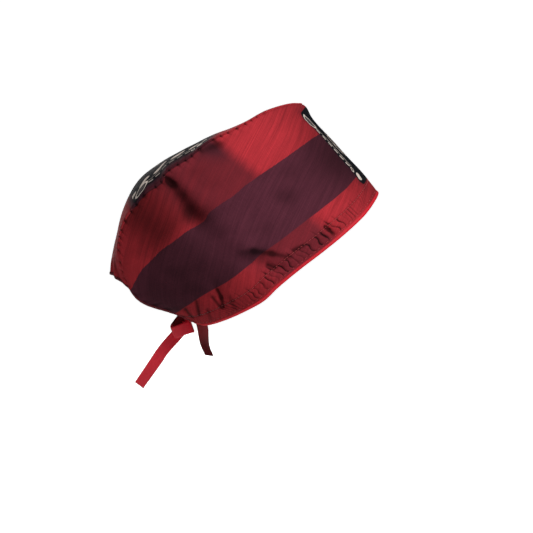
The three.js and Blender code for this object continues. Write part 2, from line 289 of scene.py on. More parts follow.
def mix_at(marks: Array, columns: Array, place: Array) -> Array:
    """A vector column by column between marks, by straight lines."""
    return np.stack([np.interp(place, marks, columns[:, i]) for i in range(3)], -1)


def turned(along: Array, up: Array, slope: Array) -> Array:
    """Along and up turned by a slope in radians, as vectors with 0 for the third part."""
    ahead = along * np.cos(slope) + up * np.sin(slope)
    aside = up * np.cos(slope) - along * np.sin(slope)
    return np.stack([ahead, aside, zero_of(ahead)], -1)


def pucker_turns(run: Array) -> Array:
    """Count of the puckers up to a distance along the crown seam, unevenly spaced."""
    return run / 9.5 + 0.35 * np.sin(run / 13.7) + 0.2 * np.sin(run / 5.9)


def fold_relief(folds: Sequence[Sequence[float]], x: Array, z: Array) -> Array:
    """Sum of folds: each one's height times a bell curve of the distance to its line.

    Args:
        folds: Rows of x0, z0, x1, z1, half width and height.
        x: Places along X.
        z: Places along Z.

    Returns:
        How far the cloth stands out at each place.
    """
    total = np.zeros_like(x)
    for x0, z0, x1, z1, width, out in folds:
        dx, dz = x1 - x0, z1 - z0
        along = np.clip(((x - x0) * dx + (z - z0) * dz) / (dx * dx + dz * dz), 0, 1)
        off = np.hypot(x - x0 - along * dx, z - z0 - along * dz)
        total += out * bell(off, width)
    return total


@dataclass(frozen=True)
class RowCurve:
    """A smooth curve through the rows of a table, run by the share of its length.

    The first three columns are a place. Between two rows each column is the cubic whose
    slope at a row is the change from the row before to the row after.
    """

    rows: tuple
    mirrors: tuple = ()

    @cached_property
    def lengths(self) -> Array:
        """Length of the straight lines from the first row up to each row."""
        return run_of(np.array(self.rows, float)[:, :3])

    def column(self, number: int, share: Array) -> Array:
        """One column at shares of the length.

        Args:
            number: Which column.
            share: From 0 at the first row to 1 at the last.

        Returns:
            The column's values there.
        """
        values = np.array(self.rows, float)[:, number]
        marks = self.lengths / self.lengths[-1]
        slopes = np.empty_like(values)
        slopes[1:-1] = (values[2:] - values[:-2]) / (marks[2:] - marks[:-2])
        slopes[0] = (values[1] - values[0]) / marks[1]
        slopes[-1] = (values[-1] - values[-2]) / (1 - marks[-2])
        mirror = self.mirrors[number] if self.mirrors else 0
        if mirror:
            slopes[0] = 0.0 if mirror > 0 else values[1] / marks[1]
        i = np.clip(np.searchsorted(marks, share) - 1, 0, len(marks) - 2)
        width = marks[i + 1] - marks[i]
        k = (share - marks[i]) / width
        return (
            values[i] * (2 * k**3 - 3 * k**2 + 1)
            + slopes[i] * width * (k**3 - 2 * k**2 + k)
            + values[i + 1] * (3 * k**2 - 2 * k**3)
            + slopes[i + 1] * width * (k**3 - k**2)
        )

    def place(self, share: Array) -> Array:
        """The first three columns together, as points."""
        return np.stack([self.column(i, share) for i in range(3)], axis=-1)


HEM = RowCurve(HEM_ROWS, (1, -1, 1, 1))
SEAM = RowCurve(CROWN_ROWS, (1, -1, 1, 1, 1))


@dataclass
class Draft:
    """A mesh being worked out: points in millimetres, faces, and values at each point."""

    points: Array
    faces: list
    fields: dict = field(default_factory=dict)

    def outward(self) -> "Draft":
        """Turns every face round if the closed draft's signed volume is below zero.

        The volume is the sum, over each face cut into triangles, of a corner's dot product
        with the cross product of the other two, over six.

        Returns:
            The same draft.
        """
        volume = 0.0
        for block in self.faces:
            for step in range(1, block.shape[1] - 1):
                a, b, c = (self.points[block[:, i]] for i in (0, step, step + 1))
                volume += np.einsum("ij,ij->", a, np.cross(b, c)) / 6
        if volume < 0:
            self.faces = [block[:, ::-1] for block in self.faces]
        return self

    def to_object(self, name: str, material: bpy.types.Material) -> bpy.types.Object:
        """Makes the Blender object, with its place in its mesh.

        Args:
            name: The piece's name.
            material: Its finish.

        Returns:
            The new object, linked into the scene.
        """
        mesh = bpy.data.meshes.new(name)
        blocks = [row for block in self.faces for row in np.asarray(block).tolist()]
        mesh.from_pydata((self.points * METRES).tolist(), [], blocks)
        for key, values in self.fields.items():
            kind = "FLOAT_VECTOR" if values.ndim == 2 else "FLOAT"
            target = "vector" if values.ndim == 2 else "value"
            attribute = mesh.attributes.new(key, kind, "POINT")
            attribute.data.foreach_set(target, values.astype(np.float32).ravel())
        mesh.polygons.foreach_set("use_smooth", np.ones(len(mesh.polygons), bool))
        mesh.materials.append(material)
        mesh.update()
        made = bpy.data.objects.new(name, mesh)
        bpy.context.scene.collection.objects.link(made)
        return made


def grid_faces(rows: int, columns: int, ring: bool = False) -> Array:
    """Four-sided faces over a grid of points, facing along-the-row crossed with up-the-rows.

    Args:
        rows: How many rows of points.
        columns: How many points in a row.
        ring: True where each row closes on itself.

    Returns:
        Point numbers, four to a face.
    """
    u = np.arange(columns if ring else columns - 1)
    v = np.arange(rows - 1)[:, None]
    after = (u + 1) % columns
    corners = [v * columns + u, v * columns + after]
    corners += [(v + 1) * columns + after, (v + 1) * columns + u]
    return np.stack(corners, axis=-1).reshape(-1, 4)


def tube_faces(rings: int, sides: int) -> list:
    """Faces of a closed tube whose two end points follow its rings.

    Args:
        rings: How many rings of points.
        sides: How many points in a ring.

    Returns:
        The wall's faces, and the fans of triangles round the first and the last end point.
    """
    u = np.arange(sides)
    after = (u + 1) % sides
    base, first = (rings - 1) * sides, rings * sides
    start = np.stack([np.full(sides, first), after, u], axis=-1)
    end = np.stack([np.full(sides, first + 1), base + u, base + after], axis=-1)
    return [grid_faces(rings, sides, ring=True), start, end]


def sheet_wall(outer: Array, normals: Array, thickness: Array, fields: dict) -> Draft:
    """A closed cloth wall: the outer grid, the same grid set in, and the four edges.

    Args:
        outer: Points of the outer face, rows by columns.
        normals: Outward directions there.
        thickness: Wall thickness, one value or a grid of them.
        fields: Values at each grid point, given to both faces.

    Returns:
        The closed draft, with the field "inner" that is 1 on the inner face.
    """
    rows, columns = outer.shape[:2]
    inner = outer - normals * np.broadcast_to(thickness, (rows, columns))[..., None]
    count = rows * columns
    front = grid_faces(rows, columns)
    number = np.arange(count).reshape(rows, columns)
    rim = np.concatenate(
        [number[0], number[1:, -1], number[-1, -2::-1], number[-2:0:-1, 0]]
    )
    ahead = np.roll(rim, -1)
    edge = np.stack([rim, rim + count, ahead + count, ahead], axis=-1)
    both = {
        key: np.concatenate([v.reshape(count, *v.shape[2:])] * 2) for key, v in fields.items()
    }
    both["inner"] = np.concatenate([np.zeros(count), np.ones(count)])
    points = np.concatenate([outer.reshape(-1, 3), inner.reshape(-1, 3)])
    return Draft(points, [front, front[:, ::-1] + count, edge], both)


def sweep(path: Array, across: Array, out: Array, profile: Array, fields: dict) -> Draft:
    """A closed profile carried along a path: path + across times a + out times b.

    Args:
        path: Points of the path.
        across: Direction of the profile's first axis at each point.
        out: Direction of its second axis.
        profile: The profile's points, for all places or one set per place.
        fields: Values at each point of the path, the same all round the profile.

    Returns:
        The closed draft, with the field "cloth": along, round the profile, 0.
    """
    count = len(path)
    shape = np.broadcast_to(profile, (count, *profile.shape[-2:]))
    points = (
        path[:, None] + across[:, None] * shape[..., :1] + out[:, None] * shape[..., 1:2]
    )
    rounds = shape.shape[1]
    along = run_of(path)
    cloth = np.zeros((count, rounds, 3))
    cloth[..., 0] = along[:, None]
    cloth[..., 1] = run_of(shape[0])
    cloth = np.concatenate([cloth.reshape(-1, 3), [[0, 0, 0], [along[-1], 0, 0]]])
    spread = {"cloth": cloth}
    for key, values in fields.items():
        over = np.repeat(values, rounds)
        spread[key] = np.concatenate([over, values[[0, -1]]])
    corners = np.concatenate([points.reshape(-1, 3), path[[0, -1]]])
    return Draft(corners, tube_faces(count, rounds), spread).outward()


def rounded_section(half_width: float, half_depth: float, count: int, power: float) -> Array:
    """A section between an oval and a box: both axes are a sine or cosine to a small power.

    Args:
        half_width: Reach along the first axis.
        half_depth: Reach along the second axis.
        count: How many points.
        power: 1 gives an oval, and a smaller power a squarer section.

    Returns:
        The points, once round.
    """
    turn = np.linspace(0, 2 * math.pi, count, endpoint=False)
    c, s = np.cos(turn), np.sin(turn)
    wide = np.sign(c) * np.abs(c) ** power * half_width
    deep = np.sign(s) * np.abs(s) ** power * half_depth
    return np.stack([wide, deep], axis=-1)


# ---------------------------------------------------------------- the cap's cloth surfaces


@dataclass(frozen=True)
class BandSurface:
    """Outer face of the side band: the frame's form with its gathers, dents and creases.

    share runs from -1 at the right nape corner over 0 at the forehead to 1 at the left one,
    and rise from 0 at the hem to 1 at the crown seam.
    """

    swell_lowness: float = 0.25
    droop: float = 6.5
    droop_from: float = 0.72
    droop_peak: float = 9.48
    tangent_step: float = 0.01
    lower_row: float = 5.2
    upper_row: float = 16.9
    pleat_slant: float = 0.12

    def height(self, share: Array) -> Array:
        """Length of the straight line from hem to seam."""
        k = np.abs(share)
        return np.linalg.norm(SEAM.place(k) - HEM.place(k), axis=-1)

    def along(self, share: Array) -> Array:
        """Distance along the hem from the forehead, below zero on the right."""
        k = np.linspace(0, 1, 600)
        return np.sign(share) * np.interp(np.abs(share), k, run_of(HEM.place(k)))

    def form(self, share: Array, rise: Array) -> Array:
        """The plain form, as the frame has it.

        Hem plus rise times the way to the seam, plus the swell times 4 rise (1 - rise), bent
        a little towards the hem; near the nape the upper half hangs down and back, and the
        main folds move the cloth sideways.

        Args:
            share: Share of the band.
            rise: Share of the way from hem to seam.

        Returns:
            Points in millimetres.
        """
        k = np.abs(share)
        hem, seam = HEM.place(k), SEAM.place(k)
        low = np.maximum(k - self.tangent_step, 0)
        high = np.minimum(k + self.tangent_step, 1)
        course = HEM.place(high) + SEAM.place(high) - HEM.place(low) - SEAM.place(low)
        sideways = np.array([0.0, 1.0, 0.0])
        course = np.where((k < self.tangent_step)[..., None], sideways, course)
        out = unit(np.cross(course, seam - hem))
        rear = ramp(self.droop_from, 1, k)[..., None]
        out = unit(out + (sideways - out) * rear)
        swell = HEM.column(3, k)
        bulge = 4 * rise * (1 - rise) * (1 + self.swell_lowness * (1 - 2 * rise))
        point = hem + (seam - hem) * rise[..., None] + out * (swell * bulge)[..., None]
        hang = self.droop * rear[..., 0] * self.droop_peak * rise**3 * (1 - rise)
        point[..., 0] -= 0.47 * hang
        point[..., 2] -= 0.88 * hang
        fade = ramp(0, 0.06, rise) * ramp(1, 0.93, rise) * ramp(0.08, 0.2, k)
        point[..., 1] += fold_relief(MAIN_FOLDS, point[..., 0], point[..., 2]) * fade
        point[..., 1] *= np.where(share < 0, -1.0, 1.0)
        return point

    def normal(self, share: Array, rise: Array) -> Array:
        """Outward direction of the plain form: along the hem crossed with up the band."""
        share, rise = np.broadcast_arrays(share, rise)
        right, left = np.minimum(share + FORWARD_STEP, 1), np.maximum(share - FORWARD_STEP, -1)
        up, down = np.minimum(rise + FORWARD_STEP, 1), np.maximum(rise - FORWARD_STEP, 0)
        along = self.form(right, rise) - self.form(left, rise)
        return unit(np.cross(along, self.form(share, up) - self.form(share, down)))

    def pleats(self, share: Array, up: Array) -> tuple:
        """Where the gathers lie.

        Pleats are counted along the hem by their distance apart. Between the stitch rows the
        count is shifted by an S, a sine of the height whose swing differs from pleat to
        pleat; above the upper row a second set of short wrinkles fades out.

        Args:
            share: Share of the band.
            up: Height over the hem.

        Returns:
            Two fields of pleat count, depth and distance between pleats: one between the
            stitch rows, one above them.
        """
        k = np.abs(share)
        away = self.along(np.ones(1))[0] - np.abs(self.along(share))
        marks, pitches, depths = np.array(PLEAT_ROWS).T
        pitch, depth = np.interp(k, marks, pitches), np.interp(k, marks, depths)
        middle = 0.5 * (self.lower_row + self.upper_row)
        climb = (up - middle) / (self.upper_row - self.lower_row)
        swing = 1.5 * np.sin(away / 7.7 + 1.9 * np.sin(away / 23))
        lean = self.pleat_slant * (up - middle) + swing * np.sin(2 * math.pi * climb)
        lean += 1.3 * np.cos(away / 5.2) * climb
        count = np.interp(away, *self.pleat_turns)
        uneven = 0.66 + 0.34 * np.sin(away / 4.3 + 2.0 * np.sin(away / 17.0))
        between = ramp(self.lower_row - 0.8, self.lower_row + 1.4, up)
        between *= ramp(self.upper_row + 0.4, self.upper_row - 1.4, up)
        over = up - self.upper_row
        above = bell(np.maximum(over, 0), 5.5) * ramp(-0.4, 0.6, over)
        short = np.clip(np.sin(away / 3.1 + 2.4 * np.sin(away / 13.0)), 0, 1)
        high_count = 0.9 * count + 0.37 + 0.03 * over
        pleat = np.stack([count + lean / pitch, between * depth * uneven, pitch], -1)
        return pleat, np.stack([high_count, above * depth * short, pitch], -1)

    @cached_property
    def pleat_turns(self) -> tuple:
        """Distance from the nape corner, and how many pleats lie before it."""
        k = np.linspace(1, 0, 1200)
        away = self.along(np.ones(1))[0] - self.along(k)
        marks, pitch, _ = np.array(PLEAT_ROWS).T
        steps = np.diff(away) / np.interp(k[1:], marks, pitch)
        wander = 0.22 * np.sin(away / 11.3) + 0.16 * np.sin(away / 5.1 + 1.3)
        return away, np.append(0, np.cumsum(steps)) + wander

    def relief(self, share: Array, rise: Array) -> Array:
        """Fine relief along the outward direction.

        Sum of: pleats between the two stitch rows, slanted towards the front as they go
        down; short wrinkles above the upper row; a dent along each row; creases; puckers
        and a dip at the crown seam; soft waves of slack cloth; and gathers at the nape.

        Args:
            share: Share of the band.
            rise: Share of the way from hem to seam.

        Returns:
            Heights in millimetres.
        """
        k = np.abs(share)
        tall = self.height(share)
        up, down = rise * tall, (1 - rise) * tall
        along = self.along(share)
        pleat, wrinkle = self.pleats(share, up)
        turns, drawn, pitch = np.moveaxis(pleat, -1, 0)
        puffed = 0.45 * np.minimum(drawn, 0.8)
        height = puffed - 1.15 * drawn * dips(turns, 0.8 / pitch + 0.03)
        height -= 0.8 * wrinkle[..., 1] * dips(wrinkle[..., 0], 0.15)
        stitched = ramp(0.04, 0.2, k)
        height -= 0.5 * bell(up - self.upper_row, 0.8) * (0.3 + 0.7 * stitched)
        height -= 0.3 * bell(up - self.lower_row, 0.7)
        point = self.form(share, rise)
        edge = ramp(3.5, 9, up) * ramp(0.5, 5, down)
        height += fold_relief(FINE_FOLDS, point[..., 0], point[..., 2]) * edge * ramp(0.1, 0.2, k)
        height += self.seam_relief(k, down)
        slack = 0.35 * np.sin(along / 13 + 1.1 * np.sin(up / 21)) * np.sin(up / 19 + along / 47)
        slack += 0.18 * np.sin(along / 6.1 + up / 9.3) * np.sin(up / 11 - along / 23)
        height += slack * ramp(18, 40, up) * ramp(2, 22, down) * ramp(0.15, 0.35, k)
        rear = 0.45 * ramp(0.9, 1, k) * ramp(6, 20, up)
        return height + rear * np.cos(up / 2.1 + 1.5 * np.sin(up / 9))

    def brow(self, share: Array, rise: Array) -> Array:
        """The curve over the forehead: out above the hem and in below the seam."""
        curve = 1.3 * bell(rise - 0.22, 0.16) - 1.7 * bell(rise - 0.8, 0.15)
        curve += 1.5 * bell(rise - 0.95, 0.05)
        return curve * ramp(0.3, 0.02, np.abs(share))

    def seam_relief(self, k: Array, down: Array) -> Array:
        """Puckers below the crown seam, and the cloth's turn into it.

        Args:
            k: Share of the seam from the front.
            down: Distance below the seam.

        Returns:
            Heights in millimetres.
        """
        turns = pucker_turns(k * SEAM.lengths[-1])
        drawn = ramp(0.12, 0.3, k)
        pucker = dips(turns, 0.16) * bell(np.maximum(down - 0.5, 0), 5.0)
        puff = 0.35 * bell(down - 3.5, 2.6)
        return (puff - 0.95 * pucker) * drawn - 0.9 * bell(down, 1.1)

    def surface(self, share: Array, rise: Array, lift: float = 0.0) -> Array:
        """The finished outer face: form plus relief along its outward direction.

        Args:
            share: Share of the band.
            rise: Share of the way from hem to seam.
            lift: Extra height over the face.

        Returns:
            Points in millimetres.
        """
        share, rise = np.broadcast_arrays(share, rise)
        offset = self.relief(share, rise) + self.brow(share, rise) + lift
        return self.form(share, rise) + self.normal(share, rise) * offset[..., None]


@dataclass(frozen=True)
class CrownSurface:
    """Outer face of the crown, an arch from seam to seam drawn into gathers at the rear.

    share runs from 0 at its front to 1 at the rear rim, and across from -1 at the right
    seam to 1 at the left one.
    """

    roundness: float = 2.2
    gather_depth: float = 2.2
    gather_count: float = 5
    gather_from: float = 0.86
    side_step: float = 0.01

    def form(self, share: Array, across: Array) -> Array:
        """The plain form: seam plus the rise to the ridge times 1 less across to a power.

        Args:
            share: Share of the crown's length.
            across: From -1 at the right seam to 1 at the left one.

        Returns:
            Points in millimetres.
        """
        arch = 1 - np.abs(across) ** self.roundness
        x, side, z = (SEAM.column(i, share) for i in range(3))
        ridge_x, ridge_z = SEAM.column(3, share), SEAM.column(4, share)
        drawn = 0.5 * self.gather_depth * ramp(self.gather_from, 1, share) * (1 - across**4)
        waves = np.cos(across * self.gather_count * math.pi) * drawn
        return np.stack(
            [x + (ridge_x - x) * arch + waves, side * across, z + (ridge_z - z) * arch], axis=-1
        )

    def normal(self, share: Array, across: Array) -> Array:
        """Outward direction of the plain form: across the crown crossed with along it."""
        share, across = np.broadcast_arrays(share, across)
        ahead, back = np.minimum(share + FORWARD_STEP, 1), np.maximum(share - FORWARD_STEP, 0)
        wide = self.form(share, np.minimum(across + self.side_step, 1))
        wide = wide - self.form(share, np.maximum(across - self.side_step, -1))
        return unit(np.cross(wide, self.form(ahead, across) - self.form(back, across)))

    def relief(self, share: Array, across: Array) -> Array:
        """Puckers along both seams, fine gathers at the rear and soft waves between.

        Args:
            share: Share of the crown's length.
            across: From -1 at the right seam to 1 at the left one.

        Returns:
            Heights in millimetres.
        """
        run = share * SEAM.lengths[-1]
        side = SEAM.column(1, share)
        inward = (1 - np.abs(across)) * side
        turns = pucker_turns(run) + 0.08
        drawn = ramp(0.12, 0.3, share)
        height = drawn * 0.3 * bell(inward - 3.5, 2.4)
        height -= drawn * 0.9 * dips(turns, 0.15) * bell(inward, 5.5)
        height -= 0.7 * bell(inward, 1.2)
        wide = across * side
        rear = ramp(0.8, 1, share)
        height += 0.35 * rear * np.cos(wide / 1.5 + 0.8 * np.sin(wide / 6)) * ramp(0, 6, inward)
        calm = ramp(2, 18, inward)
        height += 0.5 * calm * np.sin(run / 19 + np.sin(wide / 23)) * np.sin(wide / 17 + run / 41)
        return height + 0.2 * calm * np.sin(run / 8.3 + wide / 12) * np.sin(wide / 9 - run / 27)

    def surface(self, share: Array, across: Array) -> Array:
        """The finished outer face: form plus relief along its outward direction."""
        share, across = np.broadcast_arrays(share, across)
        offset = self.relief(share, across)[..., None]
        return self.form(share, across) + self.normal(share, across) * offset


BAND = BandSurface()
CROWN = CrownSurface()


# ---------------------------------------------------------------- shader node helpers


def paint(red: int, green: int, blue: int) -> tuple:
    """A paint chip's colour, 0 to 255 a channel, as the linear colour that shaders use."""
    chip = np.array([red, green, blue]) / 255
    linear = np.where(chip <= 0.04045, chip / 12.92, ((chip + 0.055) / 1.055) ** 2.4)
    return (*map(float, linear), 1.0)


class NodeSheet:
    """Short ways to add and join nodes in one node tree."""

    def __init__(self, tree: bpy.types.NodeTree) -> None:
        """Keeps the tree."""
        self.tree = tree

    def put(self, socket: Socket, value: Value) -> None:
        """Joins a socket to another socket, or sets its value."""
        if isinstance(value, bpy.types.NodeSocket):
            self.tree.links.new(value, socket)
        else:
            socket.default_value = value

    def add(self, kind: str, inputs: Optional[dict] = None, **settings: object) -> bpy.types.Node:
        """A new node.

        Args:
            kind: Its type, without the leading ShaderNode.
            inputs: Values or sockets by input name or number.
            settings: Values of the node's own settings.

        Returns:
            The node.
        """
        node = self.tree.nodes.new("ShaderNode" + kind)
        for key, value in settings.items():
            setattr(node, key, value)
        for key, value in (inputs or {}).items():
            self.put(node.inputs[key], value)
        return node

    def math(self, operation: str, *values: Value) -> Socket:
        """The result of a Math node on one to three values."""
        return self.add("Math", dict(enumerate(values)), operation=operation).outputs[0]

    def product(self, first: Value, second: Value) -> Socket:
        """One value times another."""
        return self.math("MULTIPLY", first, second)

    def less(self, first: Value, second: Value) -> Socket:
        """One value less another."""
        return self.math("SUBTRACT", first, second)

    def size(self, value: Value) -> Socket:
        """A value without its sign."""
        return self.math("ABSOLUTE", value)

    def most(self, first: Value, *others: Value) -> Socket:
        """The largest of several values."""
        for other in others:
            first = self.math("MAXIMUM", first, other)
        return first

    def line(self, value: Value, scale: float, offset: float) -> Socket:
        """A value times a scale plus an offset."""
        return self.math("MULTIPLY_ADD", value, scale, offset)

    def squares(self, a: Value, b: Value) -> Socket:
        """The sum of two squares."""
        return self.math("ADD", self.product(a, a), self.product(b, b))

    def lit(self, colour: Value, amount: Value) -> Socket:
        """A colour made lighter or darker by an amount."""
        node = self.add("VectorMath", {0: colour, "Scale": amount}, operation="SCALE")
        return node.outputs[0]

    def vector_math(self, operation: str, *values: Value) -> Socket:
        """The vector result of a Vector Math node."""
        return self.add("VectorMath", dict(enumerate(values)), operation=operation).outputs[0]

    def span(
        self, value: Value, low: Value, high: Value, start: Value = 0.0, end: Value = 1.0
    ) -> Socket:
        """A soft step from start where the value is at low, to end where it is at high."""
        inputs = {0: value, 1: low, 2: high, 3: start, 4: end}
        return self.add("MapRange", inputs, interpolation_type="SMOOTHSTEP").outputs[0]

    def blend(self, factor: Value, first: Value, second: Value) -> Socket:
        """Two colours blended by a factor."""
        return self.add("Mix", {0: factor, 6: first, 7: second}, data_type="RGBA").outputs[2]

    def noise(self, vector: Value, scale: float, detail: float = 2.0, rough: float = 0.5) -> Socket:
        """A noise value from 0 to 1 at a vector."""
        inputs = {"Vector": vector, "Scale": scale, "Detail": detail, "Roughness": rough}
        return self.add("TexNoise", inputs).outputs[0]

    def bump(self, height: Value, strength: float, distance: float, **inputs: Value) -> Socket:
        """The normal of a Bump node over a height."""
        inputs.update(Strength=strength, Distance=distance, Height=height)
        return self.add("Bump", inputs).outputs[0]

    def split(self, vector: Socket) -> tuple:
        """The three parts of a vector."""
        return tuple(self.add("SeparateXYZ", {0: vector}).outputs)

    def place(self, x: Value = 0.0, y: Value = 0.0, z: Value = 0.0) -> Socket:
        """A vector of three parts."""
        return self.add("CombineXYZ", {0: x, 1: y, 2: z}).outputs[0]

    def vector_field(self, name: str) -> Socket:
        """A vector kept at the mesh's points."""
        return self.add("Attribute", attribute_name=name).outputs["Vector"]

    def value_field(self, name: str) -> Socket:
        """A value kept at the mesh's points."""
        return self.add("Attribute", attribute_name=name).outputs["Fac"]

    def effect(self, group: bpy.types.NodeTree, **inputs: Value) -> bpy.types.Node:
        """A node group placed in this tree, with its inputs by name (spaces as underlines)."""
        node = self.tree.nodes.new("ShaderNodeGroup")
        node.node_tree = group
        for key, value in inputs.items():
            self.put(node.inputs[key.replace("_", " ")], value)
        return node


def new_effect(name: str, inputs: dict, outputs: dict) -> tuple:
    """A new shader node group with named sockets.

    Args:
        name: The group's name.
        inputs: Socket type and default by input name.
        outputs: Socket type by output name.

    Returns:
        The group, its node sheet, the inputs inside it by name, and the output node.
    """
    group = bpy.data.node_groups.new(name, "ShaderNodeTree")
    for key, (kind, default) in inputs.items():
        socket = group.interface.new_socket(key, in_out="INPUT", socket_type="NodeSocket" + kind)
        if default is not None:
            socket.default_value = default
    for key, kind in outputs.items():
        group.interface.new_socket(key, in_out="OUTPUT", socket_type="NodeSocket" + kind)
    sheet = NodeSheet(group)
    inside = group.nodes.new("NodeGroupInput")
    outside = group.nodes.new("NodeGroupOutput")
    return group, sheet, {s.name: s for s in inside.outputs if s.name}, outside


class Effects:
    """The shader node groups that several finishes share."""

    @cached_property
    def weave(self) -> bpy.types.NodeTree:
        """Plain weave: the product of a sine along each thread, and noise drawn out as slubs."""
        group, n, given, out = new_effect(
            "plain_weave",
            {"Cloth": ("Vector", None), "Threads": ("Float", 2.2), "Slub": ("Float", 0.35)},
            {"Height": "Float", "Thread": "Float"},
        )
        u, v, _ = n.split(given["Cloth"])
        bend = n.product(n.noise(given["Cloth"], 0.18, 2.0), 0.6)
        waves, slubs = [], []
        for along, stretch in ((u, (0.05, 1.6, 0.0)), (v, (1.6, 0.05, 0.0))):
            turns = n.product(n.math("ADD", along, bend), given["Threads"])
            waves.append(n.math("SINE", n.product(turns, 2 * math.pi)))
            drawn_out = n.vector_math("MULTIPLY", given["Cloth"], stretch)
            slubs.append(n.noise(drawn_out, 1.0, 3.0))
        knit = n.line(n.product(*waves), 0.5, 0.5)
        slub = n.math("ADD", *slubs)
        n.put(out.inputs["Height"], n.math("MULTIPLY_ADD", slub, given["Slub"], knit))
        n.put(out.inputs["Thread"], n.product(slub, 0.5))
        return group

    @cached_property
    def heather(self) -> bpy.types.NodeTree:
        """Heather: noise drawn out along the grain, in fine and in broad strokes."""
        group, n, given, out = new_effect(
            "heather_strokes",
            {"Grain": ("Vector", None), "Length": ("Float", 40.0), "Width": ("Float", 1.2)},
            {"Strokes": "Float", "Clouds": "Float"},
        )
        s, t, _ = n.split(given["Grain"])
        long_way = n.math("DIVIDE", s, given["Length"])
        short_way = n.math("DIVIDE", t, given["Width"])
        fine = n.noise(n.place(long_way, short_way, 0.0), 1.0, 3.0, 0.65)
        wider = n.place(n.product(long_way, 0.7), n.product(short_way, 0.28), 4.0)
        broad = n.noise(wider, 1.0, 2.0, 0.5)
        strokes = n.math("ADD", n.product(fine, 0.62), n.product(broad, 0.38))
        n.put(out.inputs["Strokes"], n.span(strokes, 0.32, 0.68))
        clouds = n.noise(n.vector_math("MULTIPLY", given["Grain"], (0.016, 0.024, 0.0)), 1.0, 3.0)
        n.put(out.inputs["Clouds"], n.span(clouds, 0.3, 0.7))
        return group

    @cached_property
    def cartouche(self) -> bpy.types.NodeTree:
        """A medallion in millimetres: dark ground with a scalloped edge, marks and a rosette.

        Across is measured from its middle line, Up from its centre. The distance to the edge
        is the smooth least of the ways left to the side and to the ends, and the ground lies
        where it is above zero. Dashes repeat along a line set in from the side; ovals are
        where a sum of two squares is near 1; the rosette's petals swing with the angle.
        """
        group, n, given, out = new_effect(
            "cartouche",
            {"Across": ("Float", 0.0), "Up": ("Float", 0.0), "Half Width": ("Float", 33.0),
             "Half Height": ("Float", 48.0), "Leaves": ("Float", 0.0)},
            {"Ground": "Float", "Halo": "Float", "Light": "Float", "Soft": "Float"},
        )
        side, up, tall = n.size(given["Across"]), given["Up"], given["Half Height"]
        away, leafy = n.size(up), given["Leaves"]

        # the ground and its soft border
        swell = n.math("COSINE", n.product(up, 0.62))
        ends = n.span(away, n.less(tall, 22.0), n.less(tall, 8.0))
        wider = n.math("MULTIPLY_ADD", ends, 3.2, n.product(swell, 0.45))
        inset = n.less(n.math("ADD", given["Half Width"], wider), side)
        depth = n.math("SMOOTH_MIN", inset, n.less(tall, away), 7.0)
        n.put(out.inputs["Ground"], n.span(depth, -0.3, 0.5))
        n.put(out.inputs["Halo"], n.span(depth, -9.0, 0.5))

        def oval(x: Value, y: Value, wide: float, high: float) -> Socket:
            """Sum of two squares over an oval set in by x from the side, at height y."""
            a = n.math("DIVIDE", n.less(inset, x), wide)
            return n.squares(a, n.math("DIVIDE", n.less(up, y), high))

        def ring(spot: Socket, thin: float) -> Socket:
            """A thin line where the oval's sum is near 1."""
            return n.span(n.size(n.less(spot, 1.0)), thin, 0.6 * thin)

        # a row of dashes and a thin line beside it
        beat = n.math("FRACT", n.math("DIVIDE", up, 8.6))
        dash = n.product(n.span(beat, 0.14, 0.22), n.span(beat, 0.86, 0.78))
        row = n.product(n.span(inset, 2.6, 3.1), n.span(inset, 4.9, 4.4))
        middle = n.span(away, n.less(tall, 20.0), n.less(tall, 22.0))
        fine = n.span(n.size(n.less(inset, 7.4)), 0.42, 0.25)
        border = n.most(n.product(n.product(dash, row), middle), n.product(fine, middle))
        border = n.product(border, n.span(leafy, 1.0, 0.0, 0.5))

        # slanting leaves, then the ovals near both ends
        spot = n.less(n.math("FRACT", n.math("DIVIDE", up, 19.0)), 0.5)
        aside = n.math("DIVIDE", n.less(inset, n.line(spot, -6.0, 13.5)), 3.0)
        leaves = n.product(n.span(n.squares(aside, n.product(spot, 2.5)), 1.1, 0.7), leafy)
        large = oval(6.2, n.less(tall, 13.0), 4.6, 8.6)
        drop = n.span(oval(5.8, n.less(9.0, tall), 3.6, 4.6), 1.05, 0.8)
        small = ring(oval(3.0, n.less(18.5, tall), 1.9, 2.4), 0.6)

        # the rosette: petals, heart and circle
        swing = n.math("COSINE", n.product(n.math("ARCTAN2", up, given["Across"]), 8.0))
        reach = n.math("SQRT", n.squares(up, side))
        petal = n.less(n.line(swing, 2.8, 12.5), reach)
        heart = n.span(n.less(n.line(swing, -1.3, 4.6), reach), -0.1, 0.3)
        circle = n.span(n.size(n.less(reach, 17.5)), 0.6, 0.35)
        petals = n.span(n.size(petal), 0.75, 0.45)
        marks = (border, leaves, ring(large, 0.34), drop, small, petals, heart, circle)
        n.put(out.inputs["Light"], n.most(*marks))
        n.put(out.inputs["Soft"], n.most(n.span(large, 0.62, 0.3), n.span(petal, 1.5, 3.5)))
        return group

    @cached_property
    def gathers(self) -> bpy.types.NodeTree:
        """Sharp painted shadow lines in the gathers: a step on the distance from each whole pleat
        count.

        Both inputs carry the count, the depth and the distance between pleats. Line is the
        painted shadow for the colour and Dent is for a bump; both come from both inputs.
        """
        group, n, given, out = new_effect(
            "gathers",
            {"Pleat": ("Vector", None), "Wrinkle": ("Vector", None)},
            {"Line": "Float", "Dent": "Float"},
        )
        lines, dents = [], []
        for key, wide in (("Pleat", 0.75), ("Wrinkle", 0.6)):
            count, deep, pitch = n.split(given[key])
            away = n.product(n.size(n.less(count, n.math("ROUND", count))), pitch)
            strong = n.span(deep, 0.05, 0.8)
            lines.append(n.product(n.span(away, wide, 0.1), strong))
            dents.append(n.product(n.span(away, 2.2 * wide, 0.0), strong))
        n.put(out.inputs["Line"], n.most(*lines))
        n.put(out.inputs["Dent"], n.most(*dents))
        return group

